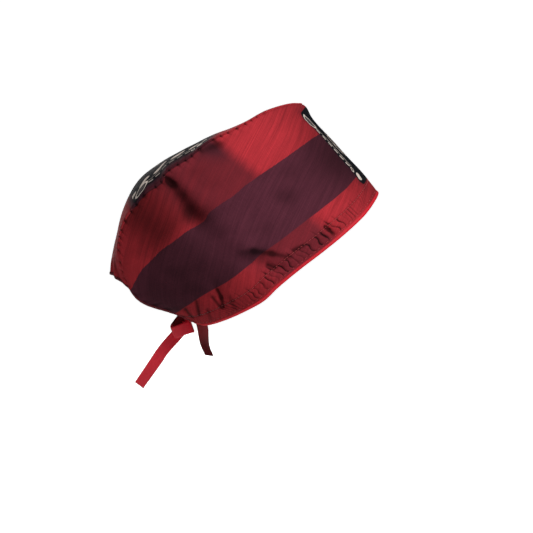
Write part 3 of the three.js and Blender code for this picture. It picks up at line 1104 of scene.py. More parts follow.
    @cached_property
    def crease(self) -> bpy.types.NodeTree:
        """Deepens a colour in the dents of the cloth as painted shade and lifts it on the ridges as
        painted highlight.
        """
        group, n, given, out = new_effect(
            "painted_crease_shade",
            {"Color": ("Color", None), "Relief": ("Float", 0.0), "Depth": ("Float", 0.8)},
            {"Color": "Color"},
        )
        painted_shade = n.span(given["Relief"], 0.1, -1.1, 1.0, n.less(1.0, given["Depth"]))
        light = n.product(painted_shade, n.span(given["Relief"], 0.15, 1.2, 1.0, 1.12))
        n.put(out.inputs["Color"], n.lit(given["Color"], light))
        return group


# ---------------------------------------------------------------- finishes


def new_finish(name: str, colour: Sequence[float]) -> tuple:
    """A new material with a Principled BSDF.

    Args:
        name: The material's name.
        colour: Its plain colour in the solid view.

    Returns:
        The material, its node sheet and the shader node.
    """
    material = bpy.data.materials.new(name)
    material.use_nodes = True
    material.diffuse_color = colour
    sheet = NodeSheet(material.node_tree)
    return material, sheet, material.node_tree.nodes["Principled BSDF"]


@dataclass(frozen=True)
class PrintedCotton:
    """Heathered red cotton with a plum stripe, plum clouds and one medallion."""

    name: str
    red: tuple = paint(190, 51, 59)
    red_deep: tuple = paint(150, 40, 47)
    plum: tuple = paint(88, 40, 53)
    plum_deep: tuple = paint(74, 33, 45)
    cloud: tuple = paint(70, 30, 39)
    black: tuple = paint(13, 16, 21)
    cream: tuple = paint(216, 201, 190)
    grey: tuple = paint(96, 88, 88)
    shadow: tuple = paint(40, 20, 30)
    painted_fold_shadow: tuple = paint(30, 8, 12)
    washed: tuple = paint(196, 132, 134)
    halo: float = 0.3
    medallion_half: tuple = (32.0, 47.0)
    medallion_middle: float = 66.0
    medallion_taper: float = 1.45
    leaves: float = 0.0
    striped: bool = True

    def material(self, effects: Effects) -> bpy.types.Material:
        """Builds the material.

        Args:
            effects: The shared node groups.

        Returns:
            The finished material.
        """
        material, n, shader = new_finish(self.name, self.red)
        cloth = n.vector_field("cloth")
        weave = n.effect(effects.weave, Cloth=cloth, Threads=1.9).outputs
        heather = n.effect(
            effects.heather, Grain=n.vector_field("grain"), Length=46.0, Width=1.15
        ).outputs
        strokes = heather["Strokes"]
        # the tone field darkens the print, partly as print and partly as painted shade
        colour = n.lit(self.ground(n, strokes, heather["Clouds"]), n.value_field("tone_and_painted_shade"))
        colour = self.medallion(n, effects, cloth, strokes, colour)
        colour = n.lit(colour, n.span(weave["Thread"], 0.2, 0.8, 0.9, 1.1))
        # painted shade in the dents of the relief field and painted highlight on its ridges
        colour = n.effect(effects.crease, Color=colour, Relief=n.value_field("relief")).outputs[0]
        dents = n.effect(
            effects.gathers, Pleat=n.vector_field("pleat"), Wrinkle=n.vector_field("wrinkle")
        ).outputs
        # painted shadow: near-black lines in the pleats of the gathered hem
        colour = n.blend(n.product(dents["Line"], 0.85), colour, self.painted_fold_shadow)
        back = n.blend(0.55, colour, self.washed)
        colour = n.blend(n.span(n.value_field("inner"), 0.4, 0.6), colour, back)
        n.put(shader.inputs["Base Color"], colour)
        n.put(shader.inputs["Roughness"], n.span(weave["Thread"], 0.1, 0.9, 0.92, 0.74))
        shader.inputs["Sheen Weight"].default_value = 0.012
        shader.inputs["Sheen Roughness"].default_value = 0.45
        shader.inputs["Sheen Tint"].default_value = (1.0, 0.72, 0.72, 1.0)
        shader.inputs["Specular IOR Level"].default_value = 0.06
        lumps = n.less(n.noise(cloth, 0.42, 3.0), n.product(dents["Dent"], 1.6))
        soft = n.bump(lumps, 0.5, 0.0005)
        n.put(shader.inputs["Normal"], n.bump(weave["Height"], 0.22, 0.00012, Normal=soft))
        return material

    def ground(self, n: NodeSheet, strokes: Socket, clouds: Socket) -> Socket:
        """The heathered red with its plum cloud and, on the band, the plum stripe.

        Args:
            n: The material's nodes.
            strokes: The heather's strokes.
            clouds: The heather's broad clouds.

        Returns:
            The colour.
        """
        red = n.blend(strokes, self.red_deep, self.red)
        red = n.blend(n.product(clouds, 0.25), red, self.red_deep)
        red = n.blend(n.product(n.value_field("cloud"), 0.95), red, self.cloud)
        if not self.striped:
            return red
        plum = n.blend(strokes, self.plum_deep, self.plum)
        ragged = n.math("MULTIPLY_ADD", strokes, 0.008, n.value_field("stripe"))
        inside = n.product(n.span(ragged, 0.998, 1.010), n.span(ragged, 2.010, 1.998))
        return n.blend(inside, red, plum)

    def medallion(
        self, n: NodeSheet, effects: Effects, cloth: Socket, strokes: Socket, colour: Socket
    ) -> Socket:
        """Prints the medallion over a colour.

        Args:
            n: The material's nodes.
            effects: The shared node groups.
            cloth: Millimetres along and up the cloth.
            strokes: The heather's strokes, which show through the print.
            colour: The cloth's colour.

        Returns:
            The colour with the medallion.
        """
        u, v, _ = n.split(cloth)
        rose = n.effect(
            effects.cartouche,
            Across=n.product(u, n.span(v, 40.0, 112.0, 1.0, self.medallion_taper)),
            Up=n.less(v, self.medallion_middle),
            Half_Width=self.medallion_half[0],
            Half_Height=self.medallion_half[1],
            Leaves=self.leaves,
        ).outputs
        colour = n.blend(n.product(rose["Halo"], self.halo), colour, self.shadow)
        colour = n.blend(rose["Ground"], colour, self.black)
        soft = n.product(n.product(rose["Ground"], rose["Soft"]), n.line(strokes, 0.6, 0.3))
        colour = n.blend(soft, colour, self.grey)
        shaded = n.product(n.line(strokes, 0.25, 0.75), rose["Ground"])
        return n.blend(n.product(rose["Light"], shaded), colour, self.cream)


@dataclass(frozen=True)
class WovenTape:
    """Red woven tape with a soft shine, for the bindings and the ties."""

    name: str
    lit: tuple = paint(206, 22, 40)
    deep: tuple = paint(182, 18, 33)
    roughness: float = 0.5
    sheen: float = 0.0
    shine: float = 0.25
    threads: float = 2.1
    worn: tuple = paint(220, 56, 68)

    def material(self, effects: Effects) -> bpy.types.Material:
        """Builds the material.

        Args:
            effects: The shared node groups.

        Returns:
            The finished material.
        """
        material, n, shader = new_finish(self.name, self.lit)
        cloth = n.vector_field("cloth")
        weave = n.effect(effects.weave, Cloth=cloth, Threads=self.threads, Slub=0.5).outputs
        grain = n.vector_math("MULTIPLY", cloth, (1.0, 1.0, 0.0))
        heather = n.effect(effects.heather, Grain=grain, Length=30.0, Width=0.7).outputs
        colour = n.blend(n.product(heather["Strokes"], 0.5), self.lit, self.deep)
        colour = n.blend(n.span(weave["Thread"], 0.3, 0.8, 0.0, 0.12), colour, self.worn)
        # painted shade from the relief field: darker in dents and where a tape is given shade,
        # lighter on ridges
        tone_and_painted_shade = n.effect(effects.crease, Color=colour, Relief=n.value_field("relief"))
        n.put(shader.inputs["Base Color"], tone_and_painted_shade.outputs[0])
        dull, bright = self.roughness + 0.1, self.roughness - 0.06
        n.put(shader.inputs["Roughness"], n.span(weave["Thread"], 0.1, 0.9, dull, bright))
        shader.inputs["Sheen Weight"].default_value = self.sheen
        shader.inputs["Sheen Roughness"].default_value = 0.4
        shader.inputs["Specular IOR Level"].default_value = self.shine
        n.put(shader.inputs["Normal"], n.bump(weave["Height"], 0.3, 0.00012))
        return material


@dataclass(frozen=True)
class SewingThread:
    """Twisted polyester thread."""

    name: str
    lit: tuple = paint(180, 42, 42)
    deep: tuple = paint(136, 28, 31)
    twist: float = 2.4

    def material(self, effects: Effects) -> bpy.types.Material:
        """Builds the material: slanted plies as a sine of the way along and round, painted darker
        in their grooves as painted shade.

        Painted shade deepens the thread towards the nape, from its lightest over the forehead.

        Args:
            effects: The shared node groups, for the strokes.

        Returns:
            The finished material.
        """
        material, n, shader = new_finish(self.name, self.lit)
        u, v, _ = n.split(n.vector_field("cloth"))
        ply = n.math("SINE", n.product(n.math("ADD", u, v), self.twist * math.pi))
        # painted shade: darker in the grooves between the plies
        colour = n.blend(n.span(ply, -0.6, 0.7), self.deep, self.lit)
        strokes = n.effect(effects.heather, Grain=n.vector_field("cloth"), Length=9.0, Width=3.0)
        colour = n.blend(n.product(strokes.outputs["Clouds"], 0.25), colour, self.deep)
        x = n.split(n.add("TexCoord").outputs["Object"])[0]
        # painted shade: the thread darker towards the nape, by the object's X
        n.put(shader.inputs["Base Color"], n.lit(colour, n.span(x, -0.085, -0.02, 0.3, 1.0)))
        n.put(shader.inputs["Roughness"], n.span(ply, -1.0, 1.0, 0.62, 0.44))
        shader.inputs["Sheen Weight"].default_value = 0.2
        n.put(shader.inputs["Normal"], n.bump(ply, 0.5, 0.00008))
        return material


# ---------------------------------------------------------------- pieces of the cap


def finish_piece(made: bpy.types.Object, slot: Slot, nodes: Sequence[str] = ()) -> bpy.types.Object:
    """Rides a piece on the cap's body and says what it stands for.

    Args:
        made: The piece.
        slot: The record's finish for it.
        nodes: The frame's nodes that it replaces.

    Returns:
        The same piece.
    """
    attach(made, BODY)
    if nodes:
        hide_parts(*nodes)
    triangles = sum(len(p.vertices) - 2 for p in made.data.polygons)
    LOG.info("%s: %d triangles, slot %s", made.name, triangles, slot.value)
    return made


@dataclass
class StitchRow:
    """A row of single stitches lying on a cloth face."""

    length: float = 2.6
    gap: float = 0.7
    radius: float = 0.26
    look_ahead: float = 0.6
    sides: int = 6
    rings: int = 5

    def lay(self, path: Array, out: Array) -> Draft:
        """Lays one short rounded bar per stitch along a path.

        A bar is the path's direction times its way along, plus a circle in the other two
        directions. The circle's radius is the square root of 1 less the fourth power of the
        way along, and its middle sinks with that power, so the ends go down into the cloth.

        Args:
            path: Points of the row, close together.
            out: Outward directions there.

        Returns:
            All the stitches in one draft.
        """
        run = run_of(path)
        starts = np.arange(self.gap, run[-1] - self.length, self.length + self.gap)
        middles = starts + 0.5 * self.length
        centre = mix_at(run, path, middles)
        along = unit(mix_at(run, path, middles + self.look_ahead) - centre)
        across = unit(np.cross(unit(mix_at(run, out, middles)), along))
        normal = np.cross(along, across)
        way = np.linspace(-0.96, 0.96, self.rings)
        turn = np.linspace(0, 2 * math.pi, self.sides, endpoint=False)
        size = self.radius * np.sqrt(1 - way**4)
        sag = -0.9 * self.radius * way**4
        bar = np.zeros((self.rings, self.sides, 3))
        bar[..., 0] = (0.5 * self.length * way)[:, None]
        bar[..., 1] = size[:, None] * np.cos(turn)
        bar[..., 2] = size[:, None] * np.sin(turn) + sag[:, None]
        tips = np.array([[-0.5 * self.length, 0, sag[0]], [0.5 * self.length, 0, sag[0]]])
        shape = np.concatenate([bar.reshape(-1, 3), tips])
        points = (
            centre[:, None]
            + along[:, None] * shape[:, 0:1]
            + across[:, None] * shape[:, 1:2]
            + normal[:, None] * shape[:, 2:3]
        )
        count, each = len(centre), len(shape)
        offset = (np.arange(count) * each)[:, None, None]
        faces = [
            (block[None] + offset).reshape(-1, block.shape[1])
            for block in tube_faces(self.rings, self.sides)
        ]
        cloth = np.zeros((count, each, 3))
        cloth[..., 0] = middles[:, None] + shape[:, 0]
        cloth[..., 1] = shape[:, 1] * 2
        return Draft(points.reshape(-1, 3), faces, {"cloth": cloth.reshape(-1, 3)}).outward()


@dataclass
class SideBand:
    """The U-shaped front and side panel with its print, hem stitching and creases."""

    wall: float = 0.9
    columns: int = 560
    low_rows: int = 26
    high_rows: int = 60
    start_up: float = 2.4
    gathered_up: float = 25.0
    end_share: float = 0.992
    grain_slope: float = 0.14
    grain_fan: float = 0.0015

    def grid(self) -> tuple:
        """Share and rise of each grid point, closer together over the gathered hem.

        Returns:
            Two arrays, rows by columns.
        """
        share = np.linspace(-self.end_share, self.end_share, self.columns)
        tall = BAND.height(share)
        low = np.linspace(0, 1, self.low_rows, endpoint=False)[:, None]
        high = np.linspace(0, 1, self.high_rows)[:, None]
        start, middle = self.start_up / tall, self.gathered_up / tall
        rise = np.concatenate([start + (middle - start) * low, middle + (1 - middle) * high])
        return np.broadcast_to(share, rise.shape), rise

    def fields(self, share: Array, rise: Array) -> dict:
        """Values that the print and the finish read.

        Args:
            share: Share of the band.
            rise: Share of the way from hem to seam.

        Returns:
            cloth: millimetres along and up; grain: along and across the strokes; stripe: 1
                at the stripe's lower edge and 2 at its upper one; cloud; the tone field: the
                print's tone with painted shade in it; relief, less a painted shade line under the
                crown seam;
                pleat and wrinkle: count, depth and distance of the gathers.
        """
        k = np.abs(share)
        along, up = BAND.along(share), rise * BAND.height(share)
        marks, lows, highs = np.array(STRIPE_ROWS).T
        low, high = np.interp(k, marks, lows), np.interp(k, marks, highs)
        inside = 1 + (rise - low) / (high - low)
        point = BAND.form(share, rise)
        slope = self.grain_slope + self.grain_fan * np.abs(along)
        # painted shade along the crown seam; the relief field drives painted shade in dents and
        # painted highlight on ridges
        seam_shade = 1.5 * bell((1 - rise) * BAND.height(share), 1.2)
        pleat, wrinkle = BAND.pleats(share, up)
        return {
            "cloth": np.stack([along, up, zero_of(up)], -1),
            "grain": turned(-np.abs(along), up, slope),
            "stripe": inside,
            "cloud": self.cloud(point[..., 0], point[..., 2]),
            "tone_and_painted_shade": self.tone_and_painted_shade(k, rise),
            "relief": BAND.relief(share, rise) - seam_shade,
            "pleat": pleat,
            "wrinkle": wrinkle,
        }

    def tone_and_painted_shade(self, k: Array, rise: Array) -> Array:
        """The print's tone with painted shade in it: deeper over the brow and towards the nape and
        lighter low behind the ear, partly print and partly painted light and shade, with painted
        shade in the gathers.

        Args:
            k: Share of the band, without its sign.
            rise: Share of the way from hem to seam.

        Returns:
            About 1 where the print is at its lightest, and less elsewhere.
        """
        front = 1 - 0.46 * ramp(0.36, 0.16, k) * bell(rise - 0.42, 0.24)
        front *= 1 - 0.32 * ramp(0.26, 0.1, k)
        upper = ramp(0.62, 0.74, rise)
        rear = 1 - 0.5 * ramp(0.52, 0.72, k)
        rear -= 0.3 * ramp(0.52, 0.6, k) * ramp(0.84, 0.72, k) * upper
        rear += 0.2 * ramp(0.72, 0.9, k) * upper
        low = 1 + 0.14 * ramp(0.3, 0.08, rise) * ramp(0.3, 0.5, k)
        up = rise * BAND.height(k)
        marks, _, depths = np.array(PLEAT_ROWS).T
        drawn = ramp(4.4, 6.2, up) * ramp(17.6, 15.8, up) * np.interp(k, marks, depths)
        return front * rear * low * (1 - 0.16 * np.clip(drawn, 0, 1))

    def cloud(self, x: Array, z: Array) -> Array:
        """The soft plum cloud over each ear: steps across two slanting lines and a smudge.

        Args:
            x: Places along X.
            z: Places along Z.

        Returns:
            How plum the red cloth is, from 0 to 1.
        """
        past = 0.62 * (x + 50) + 0.78 * (z - 94.5)
        before = 0.6 * (x + 112) + 0.8 * (z - 62)
        veil = ramp(8, -8, past) * ramp(-30, 10, before)
        smudge = bell(np.hypot((x + 76) * 0.9, (z - 111) * 1.5), 20.0)
        return np.clip(0.72 * veil + 0.36 * smudge * ramp(10, -6, past), 0, 1)

    def build(self, finish: bpy.types.Material) -> bpy.types.Object:
        """Makes the panel.

        Args:
            finish: The printed cotton.

        Returns:
            The piece, standing for the frame's side band.
        """
        share, rise = self.grid()
        outer = BAND.surface(share, rise)
        draft = sheet_wall(outer, BAND.normal(share, rise), self.wall, self.fields(share, rise))
        return finish_piece(draft.to_object("side_band_cloth", finish), Slot.BAND, ["side_band"])

    def stitches(self, finish: bpy.types.Material) -> list:
        """Makes the two rows of stitches over the gathered hem.

        Args:
            finish: The thread.

        Returns:
            The two pieces.
        """
        made = []
        share = np.linspace(-0.975, 0.975, 1400)
        for name, up, row in (
            ("hem_stitches_upper", BAND.upper_row, StitchRow(length=3.4, gap=0.12, radius=0.27)),
            ("hem_stitches_lower", BAND.lower_row, StitchRow(length=2.9, gap=2.4, radius=0.24)),
        ):
            rise = up / BAND.height(share)
            path = BAND.surface(share, rise, lift=0.1)
            draft = row.lay(path, BAND.normal(share, rise))
            made.append(finish_piece(draft.to_object(name, finish), Slot.BAND))
        return made


@dataclass
class Crown:
    """The long top and back panel between the two side seams."""

    wall: float = 0.9
    rows: int = 250
    columns: int = 110
    front_share: float = 0.012
    end_share: float = 0.992
    setback: float = 0.1
    grain_slope: float = 0.5
    fullness: float = 1.06
    welt_half: tuple = (1.25, 0.95)
    welt_depth: float = 0.75
    nip_pull: float = 1.6

    def grid(self) -> tuple:
        """Share and across of each grid point, set back a little from the seams.

        Returns:
            Two arrays, rows by columns.
        """
        share = np.linspace(self.front_share, self.end_share, self.rows)[:, None]
        edge = 1 - self.setback / np.maximum(SEAM.column(1, share), 1.0)
        even = np.linspace(-1, 1, self.columns)
        across = edge * (0.8 * even + 0.2 * np.sin(even * math.pi / 2))
        return np.broadcast_to(share, across.shape), across

    def cloud(self, run: Array) -> Array:
        """The plum cloud round the crown's medallion: a step up and a step down along it."""
        return np.clip(1.1 * ramp(104, 130, run) * ramp(238, 218, run), 0, 1)

    def tone_and_painted_shade(self, share: Array) -> Array:
        """The print's tone with painted shade in it: a little deeper towards the rear."""
        return 1 - 0.25 * ramp(0.3, 0.6, share)

    def build(self, finish: bpy.types.Material) -> bpy.types.Object:
        """Makes the panel.

        Args:
            finish: The printed cotton.

        Returns:
            The piece, standing for the frame's crown.
        """
        share, across = self.grid()
        outer = CROWN.surface(share, across)
        run = share * SEAM.lengths[-1]
        wide = across * SEAM.column(1, share) * self.fullness
        fields = {
            "cloth": np.stack([wide, run, zero_of(run)], -1),
            "grain": turned(run, wide, self.grain_slope),
            "cloud": self.cloud(run),
            "tone_and_painted_shade": self.tone_and_painted_shade(share),
            # the relief field drives painted shade in the dents and painted highlight on the ridges
            "relief": CROWN.relief(share, across),
        }
        draft = sheet_wall(outer, CROWN.normal(share, across), self.wall, fields)
        return finish_piece(draft.to_object("crown_cloth", finish), Slot.CROWN, ["crown"])

    def welts(self, finish: bpy.types.Material) -> list:
        """Makes the rolled ridge along each seam, closing the join of crown and band.

        The ridge is an oval section carried along the seam. At each pucker it is smaller and
        lies deeper, and it is fuller near the rear rim.

        Args:
            finish: The cloth of the ridge.

        Returns:
            The two ridges, right and left.
        """
        made = []
        share = np.linspace(0.02, 0.993, 620)
        run = share * SEAM.lengths[-1]
        for side in Side:
            seam = SEAM.place(share) * np.array([1.0, side.value, 1.0])
            band_out = BAND.normal(share * side.value, np.full_like(share, 0.985))
            crown_out = CROWN.normal(share, np.full_like(share, 0.985 * side.value))
            out = unit(band_out + crown_out)
            course = unit(np.gradient(seam, axis=0)) * side.value
            wide = unit(np.cross(out, course))
            nip = 1 - 0.35 * dips(pucker_turns(run), 0.12) * ramp(0.12, 0.3, share)
            section = rounded_section(*self.welt_half, 12, 0.9)
            fuller = 1 + 0.35 * ramp(0.9, 1, share)
            profile = section[None] * (nip * fuller)[:, None, None]
            path = seam - out * (self.welt_depth + self.nip_pull * (1 - nip))[:, None]
            values = {
                # painted shade at each pucker, through the relief field
                "relief": 2.5 * (nip - 1) - 0.15,
                "inner": zero_of(run),
                "cloud": self.cloud(run),
                "tone_and_painted_shade": self.tone_and_painted_shade(share),
                "side": SEAM.column(1, share) * self.fullness * side.value,
                "run": run,
            }
            draft = sweep(path, wide, out, profile, values)
            draft.fields["grain"] = draft.fields["cloth"]
            spot = [draft.fields.pop("side"), draft.fields.pop("run")]
            draft.fields["cloth"] = np.stack([*spot, zero_of(spot[0])], -1)
            name = f"crown_seam_{side.name.lower()}"
            made.append(finish_piece(draft.to_object(name, finish), Slot.CROWN))
        return made


@dataclass
class Bindings:
    """Tape folded over the hem and over the rim of the rear opening, with its stitching."""

    height: float = 3.3
    depth: float = 2.4
    inward: float = 0.6
    steps: int = 700
    section_points: int = 18
    squareness: float = 0.62

    def profile(self, ripple: Array) -> Array:
        """The squared oval section at each place, its depth times a ripple."""
        half = (0.5 * self.height, 0.5 * self.depth)
        section = rounded_section(*half, self.section_points, self.squareness)
        return section[None] * np.stack([np.ones_like(ripple), ripple], -1)[:, None]

    def hem(self, finish: bpy.types.Material) -> bpy.types.Object:
        """Makes the hem binding: a squared oval section carried along the hem.

        Args:
            finish: The tape.

        Returns:
            The piece, standing for the frame's hem binding.
        """
        share = np.linspace(-1, 1, self.steps)
        rise = 0.5 * self.height / BAND.height(share)
        out = BAND.normal(share, rise)
        run = BAND.along(share)
        path = BAND.form(share, rise) - out * self.inward
        up = unit(BAND.form(share, rise * 1.6) - BAND.form(share, rise * 0.4))
        ripple = 1 + 0.035 * np.sin(run / 1.7 + np.sin(run / 7)) + 0.02 * np.sin(run / 0.9)
        draft = sweep(path, up, out, self.profile(ripple), {"relief": zero_of(run)})
        made = draft.to_object("hem_binding_tape", finish)
        return finish_piece(made, Slot.BINDING, ["hem_binding"])

    def rim_path(self) -> tuple:
        """The line round the rear opening: up one side, over the crown's end, down the other.

        Returns:
            Points, the way towards the rim's edge, and outward directions.
        """
        inset = 0.5 * self.height / SEAM.lengths[-1]
        low = (self.height + 0.6) / BAND.height(np.ones(1))[0]
        rise = np.linspace(low, 0.985, 90)
        edge = np.full_like(rise, 1 - inset)
        parts, outs, edges = [], [], []
        for side, order in ((-1, 1), (1, -1)):
            place = BAND.form(side * edge, rise)
            toward = BAND.form(side * (edge + inset), rise) - place
            parts.append(place[::order])
            outs.append(BAND.normal(side * edge, rise)[::order])
            edges.append(unit(toward)[::order])
        across = np.linspace(-0.97, 0.97, 150)
        back = np.full_like(across, 1 - inset)
        place = CROWN.form(back, across)
        toward = CROWN.form(back + inset, across) - place
        parts.insert(1, place)
        outs.insert(1, CROWN.normal(back, across))
        edges.insert(1, unit(toward))
        return np.concatenate(parts), np.concatenate(edges), np.concatenate(outs)

    def rear(self, finish: bpy.types.Material) -> bpy.types.Object:
        """Makes the binding of the rear opening.

        Args:
            finish: The tape.

        Returns:
            The piece, standing for the frame's rear binding.
        """
        path, edge, out = self.rim_path()
        for _ in range(4):
            out[1:-1] = unit(out[:-2] + 2 * out[1:-1] + out[2:])
            edge[1:-1] = unit(edge[:-2] + 2 * edge[1:-1] + edge[2:])
        run = run_of(path)
        profile = self.profile(1 + 0.06 * np.sin(run / 1.3 + np.sin(run / 5)))
        draft = sweep(path - out * self.inward, -edge, out, profile, {"relief": zero_of(run)})
        made = draft.to_object("rear_binding_tape", finish)
        return finish_piece(made, Slot.BINDING, ["rear_binding"])

    def stitches(self, finish: bpy.types.Material) -> list:
        """Makes the stitching along both bindings.

        Args:
            finish: The thread.

        Returns:
            The two rows.
        """
        share = np.linspace(-0.99, 0.99, 1400)
        rise = 0.72 * self.height / BAND.height(share)
        out = BAND.normal(share, rise)
        face = 0.5 * self.depth - self.inward
        row = StitchRow(length=2.2, gap=0.8, radius=0.17)
        hem = row.lay(BAND.form(share, rise) + out * (face - 0.02), out)
        path, edge, normal = self.rim_path()
        rim = row.lay(path - edge * (0.22 * self.height) + normal * (face - 0.02), normal)
        return [
            finish_piece(hem.to_object("hem_binding_stitches", finish), Slot.BINDING),
            finish_piece(rim.to_object("rear_binding_stitches", finish), Slot.BINDING),
        ]


@dataclass
class ElasticChannel:
    """The strip inside the hem that holds the elastic, gathered in short waves."""

    side: Side
    low: float = 5.6
    high: float = 16.4
    front: float = 0.12
    rear: float = 0.93
    gap: float = 2.1
    wall: float = 0.6
    columns: int = 420
    rows: int = 12
    pitch: float = 4.4

    def build(self, finish: bpy.types.Material) -> bpy.types.Object:
        """Makes the strip: the band's form set in, with a sine of the way along as gathers.

        Args:
            finish: The cloth.

        Returns:
            The piece, standing for this side's channel in the frame.
        """
        even = np.linspace(self.front, self.rear, self.columns)
        share = (even if self.side is Side.LEFT else even[::-1]) * self.side.value
        climb = np.linspace(self.low, self.high, self.rows)[:, None]
        share = np.broadcast_to(share, (self.rows, self.columns))
        rise = climb / BAND.height(share)
        along = BAND.along(share)
        middle = np.sin(math.pi * (climb - self.low) / (self.high - self.low))
        gathers = 0.2 * middle * np.sin(2 * math.pi * along / self.pitch + np.sin(along / 9))
        normal = BAND.normal(share, rise)
        outer = BAND.form(share, rise) - normal * (self.gap + 0.2 - gathers)[..., None]
        spot = np.stack([along, climb + zero_of(along), zero_of(along)], -1)
        # painted shade in the troughs of the gathers and painted highlight on their crests, through
        # the relief field
        fields = {"cloth": spot, "grain": spot, "relief": 0.0 - gathers}
        draft = sheet_wall(outer, normal, self.wall, fields)
        side = self.side.name.lower()
        made = draft.to_object(f"elastic_channel_cloth_{side}", finish)
        return finish_piece(made, Slot.CHANNEL, [f"elastic_channel_{side}"])


@dataclass
class Tape:
    """One flat length of the ties, with folded edges.

    shaded is the share of a loop's length, from the knot, whose inside is painted in shade;
    the last setting is painted shade that deepens the whole tape. A tape with no shaded
    share gets painted shade towards its far end.
    """

    name: str
    node: str
    rows: tuple
    mirror: Side = Side.RIGHT
    width: float = 12.0
    thickness: float = 0.95
    steps: int = 150
    fold: float = 0.16
    shaded: float = 0.0
    painted_shade: float = 0.0

    def build(self, finish: bpy.types.Material) -> bpy.types.Object:
        """Makes the tape: a thin squared oval carried along its rows, thicker at the edges.

        Args:
            finish: The tape's finish.

        Returns:
            The piece, standing for its node in the frame.
        """
        curve = RowCurve(self.rows)
        share = np.linspace(0, 1, self.steps)
        path = curve.place(share)
        across = unit(np.stack([curve.column(i, share) for i in (3, 4, 5)], -1))
        flip = -1.0 if self.mirror is Side.LEFT else 1.0
        path[:, 1] *= flip
        across[:, 1] *= flip
        across *= flip
        course = unit(np.gradient(path, axis=0))
        out = unit(np.cross(course, across))
        section = rounded_section(0.5 * self.width, 0.5 * self.thickness, 44, 0.5)
        rim = bell(np.abs(section[:, 0]) - 0.40 * self.width, 0.07 * self.width)
        section[:, 1] *= 1 + 2 * self.fold * rim
        run = share * curve.lengths[-1]
        cup = 0.25 * (section[:, 0] / (0.5 * self.width)) ** 2
        profile = np.repeat(section[None], self.steps, axis=0)
        profile[..., 1] += cup * np.sin(run / 23)[:, None]
        # painted shade: the loop's inside near the knot, a tail's far end, and the whole tape by
        # the last setting
        shade = -1.3 * ramp(self.shaded + 0.08, self.shaded - 0.08, share) * (self.shaded > 0)
        shade -= 0.42 * ramp(0.35, 0.9, share) * (self.shaded == 0)
        draft = sweep(path, across, out, profile, {"relief": shade - 1.1 * self.painted_shade})
        made = draft.to_object(self.name, finish)
        return finish_piece(made, Slot.TIE, [self.node])


@dataclass
class Knot:
    """The knot of the bow: a lump wrapped by a turn of the tape."""

    centre: tuple = (-103.0, 0.0, -56.6)
    half: tuple = (6.6, 5.9, 7.0)
    rings: int = 44
    sides: int = 72
    wraps: float = 0.09

    def build(self, finish: bpy.types.Material) -> bpy.types.Object:
        """Makes the knot: a ball whose radius swells in a turn of tape round its middle.

        Args:
            finish: The tape's finish.

        Returns:
            The piece, standing for the frame's knot.
        """
        polar = np.linspace(0, math.pi, self.rings + 2)[1:-1][:, None]
        turn = np.linspace(0, 2 * math.pi, self.sides, endpoint=False)
        height, ring = np.cos(polar), np.sin(polar)
        slant = height + 0.25 * np.sin(turn)
        wrap = self.wraps * (ramp(0.5, 0.36, np.abs(slant)) - 0.4)
        crease = 0.035 * np.cos(5 * turn + 6 * height) * ring**2
        size = 1 + wrap + crease - 0.09
        ball = np.stack([ring * np.cos(turn), height + 0 * turn, ring * np.sin(turn)], -1)
        half = np.array(self.half)
        points = np.array(self.centre) + ball * size[..., None] * half
        poles = np.array(self.centre) + np.array([[0, 0.9, 0], [0, -0.9, 0]]) * half
        points = np.concatenate([points.reshape(-1, 3), poles])
        cloth = np.stack([turn * 6 + 0 * height, height * 6 + 0 * turn, 0 * size], -1)
        fields = {
            "cloth": np.concatenate([cloth.reshape(-1, 3), [[0, 6, 0], [0, -6, 0]]]),
            # painted shade in the dents of the wrap and the creases, and painted highlight on their
            # ridges
            "relief": np.concatenate([(8 * (wrap + crease) - 0.1).ravel(), [0, 0]]),
        }
        draft = Draft(points, tube_faces(self.rings, self.sides), fields).outward()
        return finish_piece(draft.to_object("bow_knot", finish), Slot.TIE, ["tie_knot"])


@dataclass
class Bow:
    """The knot at the nape with its leads, two loops and two tails."""

    tapes: tuple = (
        # the loops' insides and the whole short tail carry painted shade
        Tape("bow_loop_tape_right", "bow_loop_right", LOOP_ROWS, shaded=0.27),
        Tape("bow_loop_tape_left", "bow_loop_left", LOOP_ROWS, Side.LEFT, shaded=0.27),
        Tape("bow_tail_tape_long", "tie_tail_long", LONG_TAIL_ROWS),
        Tape("bow_tail_tape_short", "tie_tail_short", SHORT_TAIL_ROWS, painted_shade=0.7),
        Tape("tie_lead_tape_right", "tie_lead_right", LEAD_ROWS, width=8, steps=24),
        Tape("tie_lead_tape_left", "tie_lead_left", LEAD_ROWS, Side.LEFT, 8, steps=24),
    )

    knot: Knot = field(default_factory=Knot)

    def build(self, finish: bpy.types.Material) -> list:
        """Makes the tapes and the knot, as a list of pieces."""
        return [tape.build(finish) for tape in self.tapes] + [self.knot.build(finish)]


# ---------------------------------------------------------------- studio


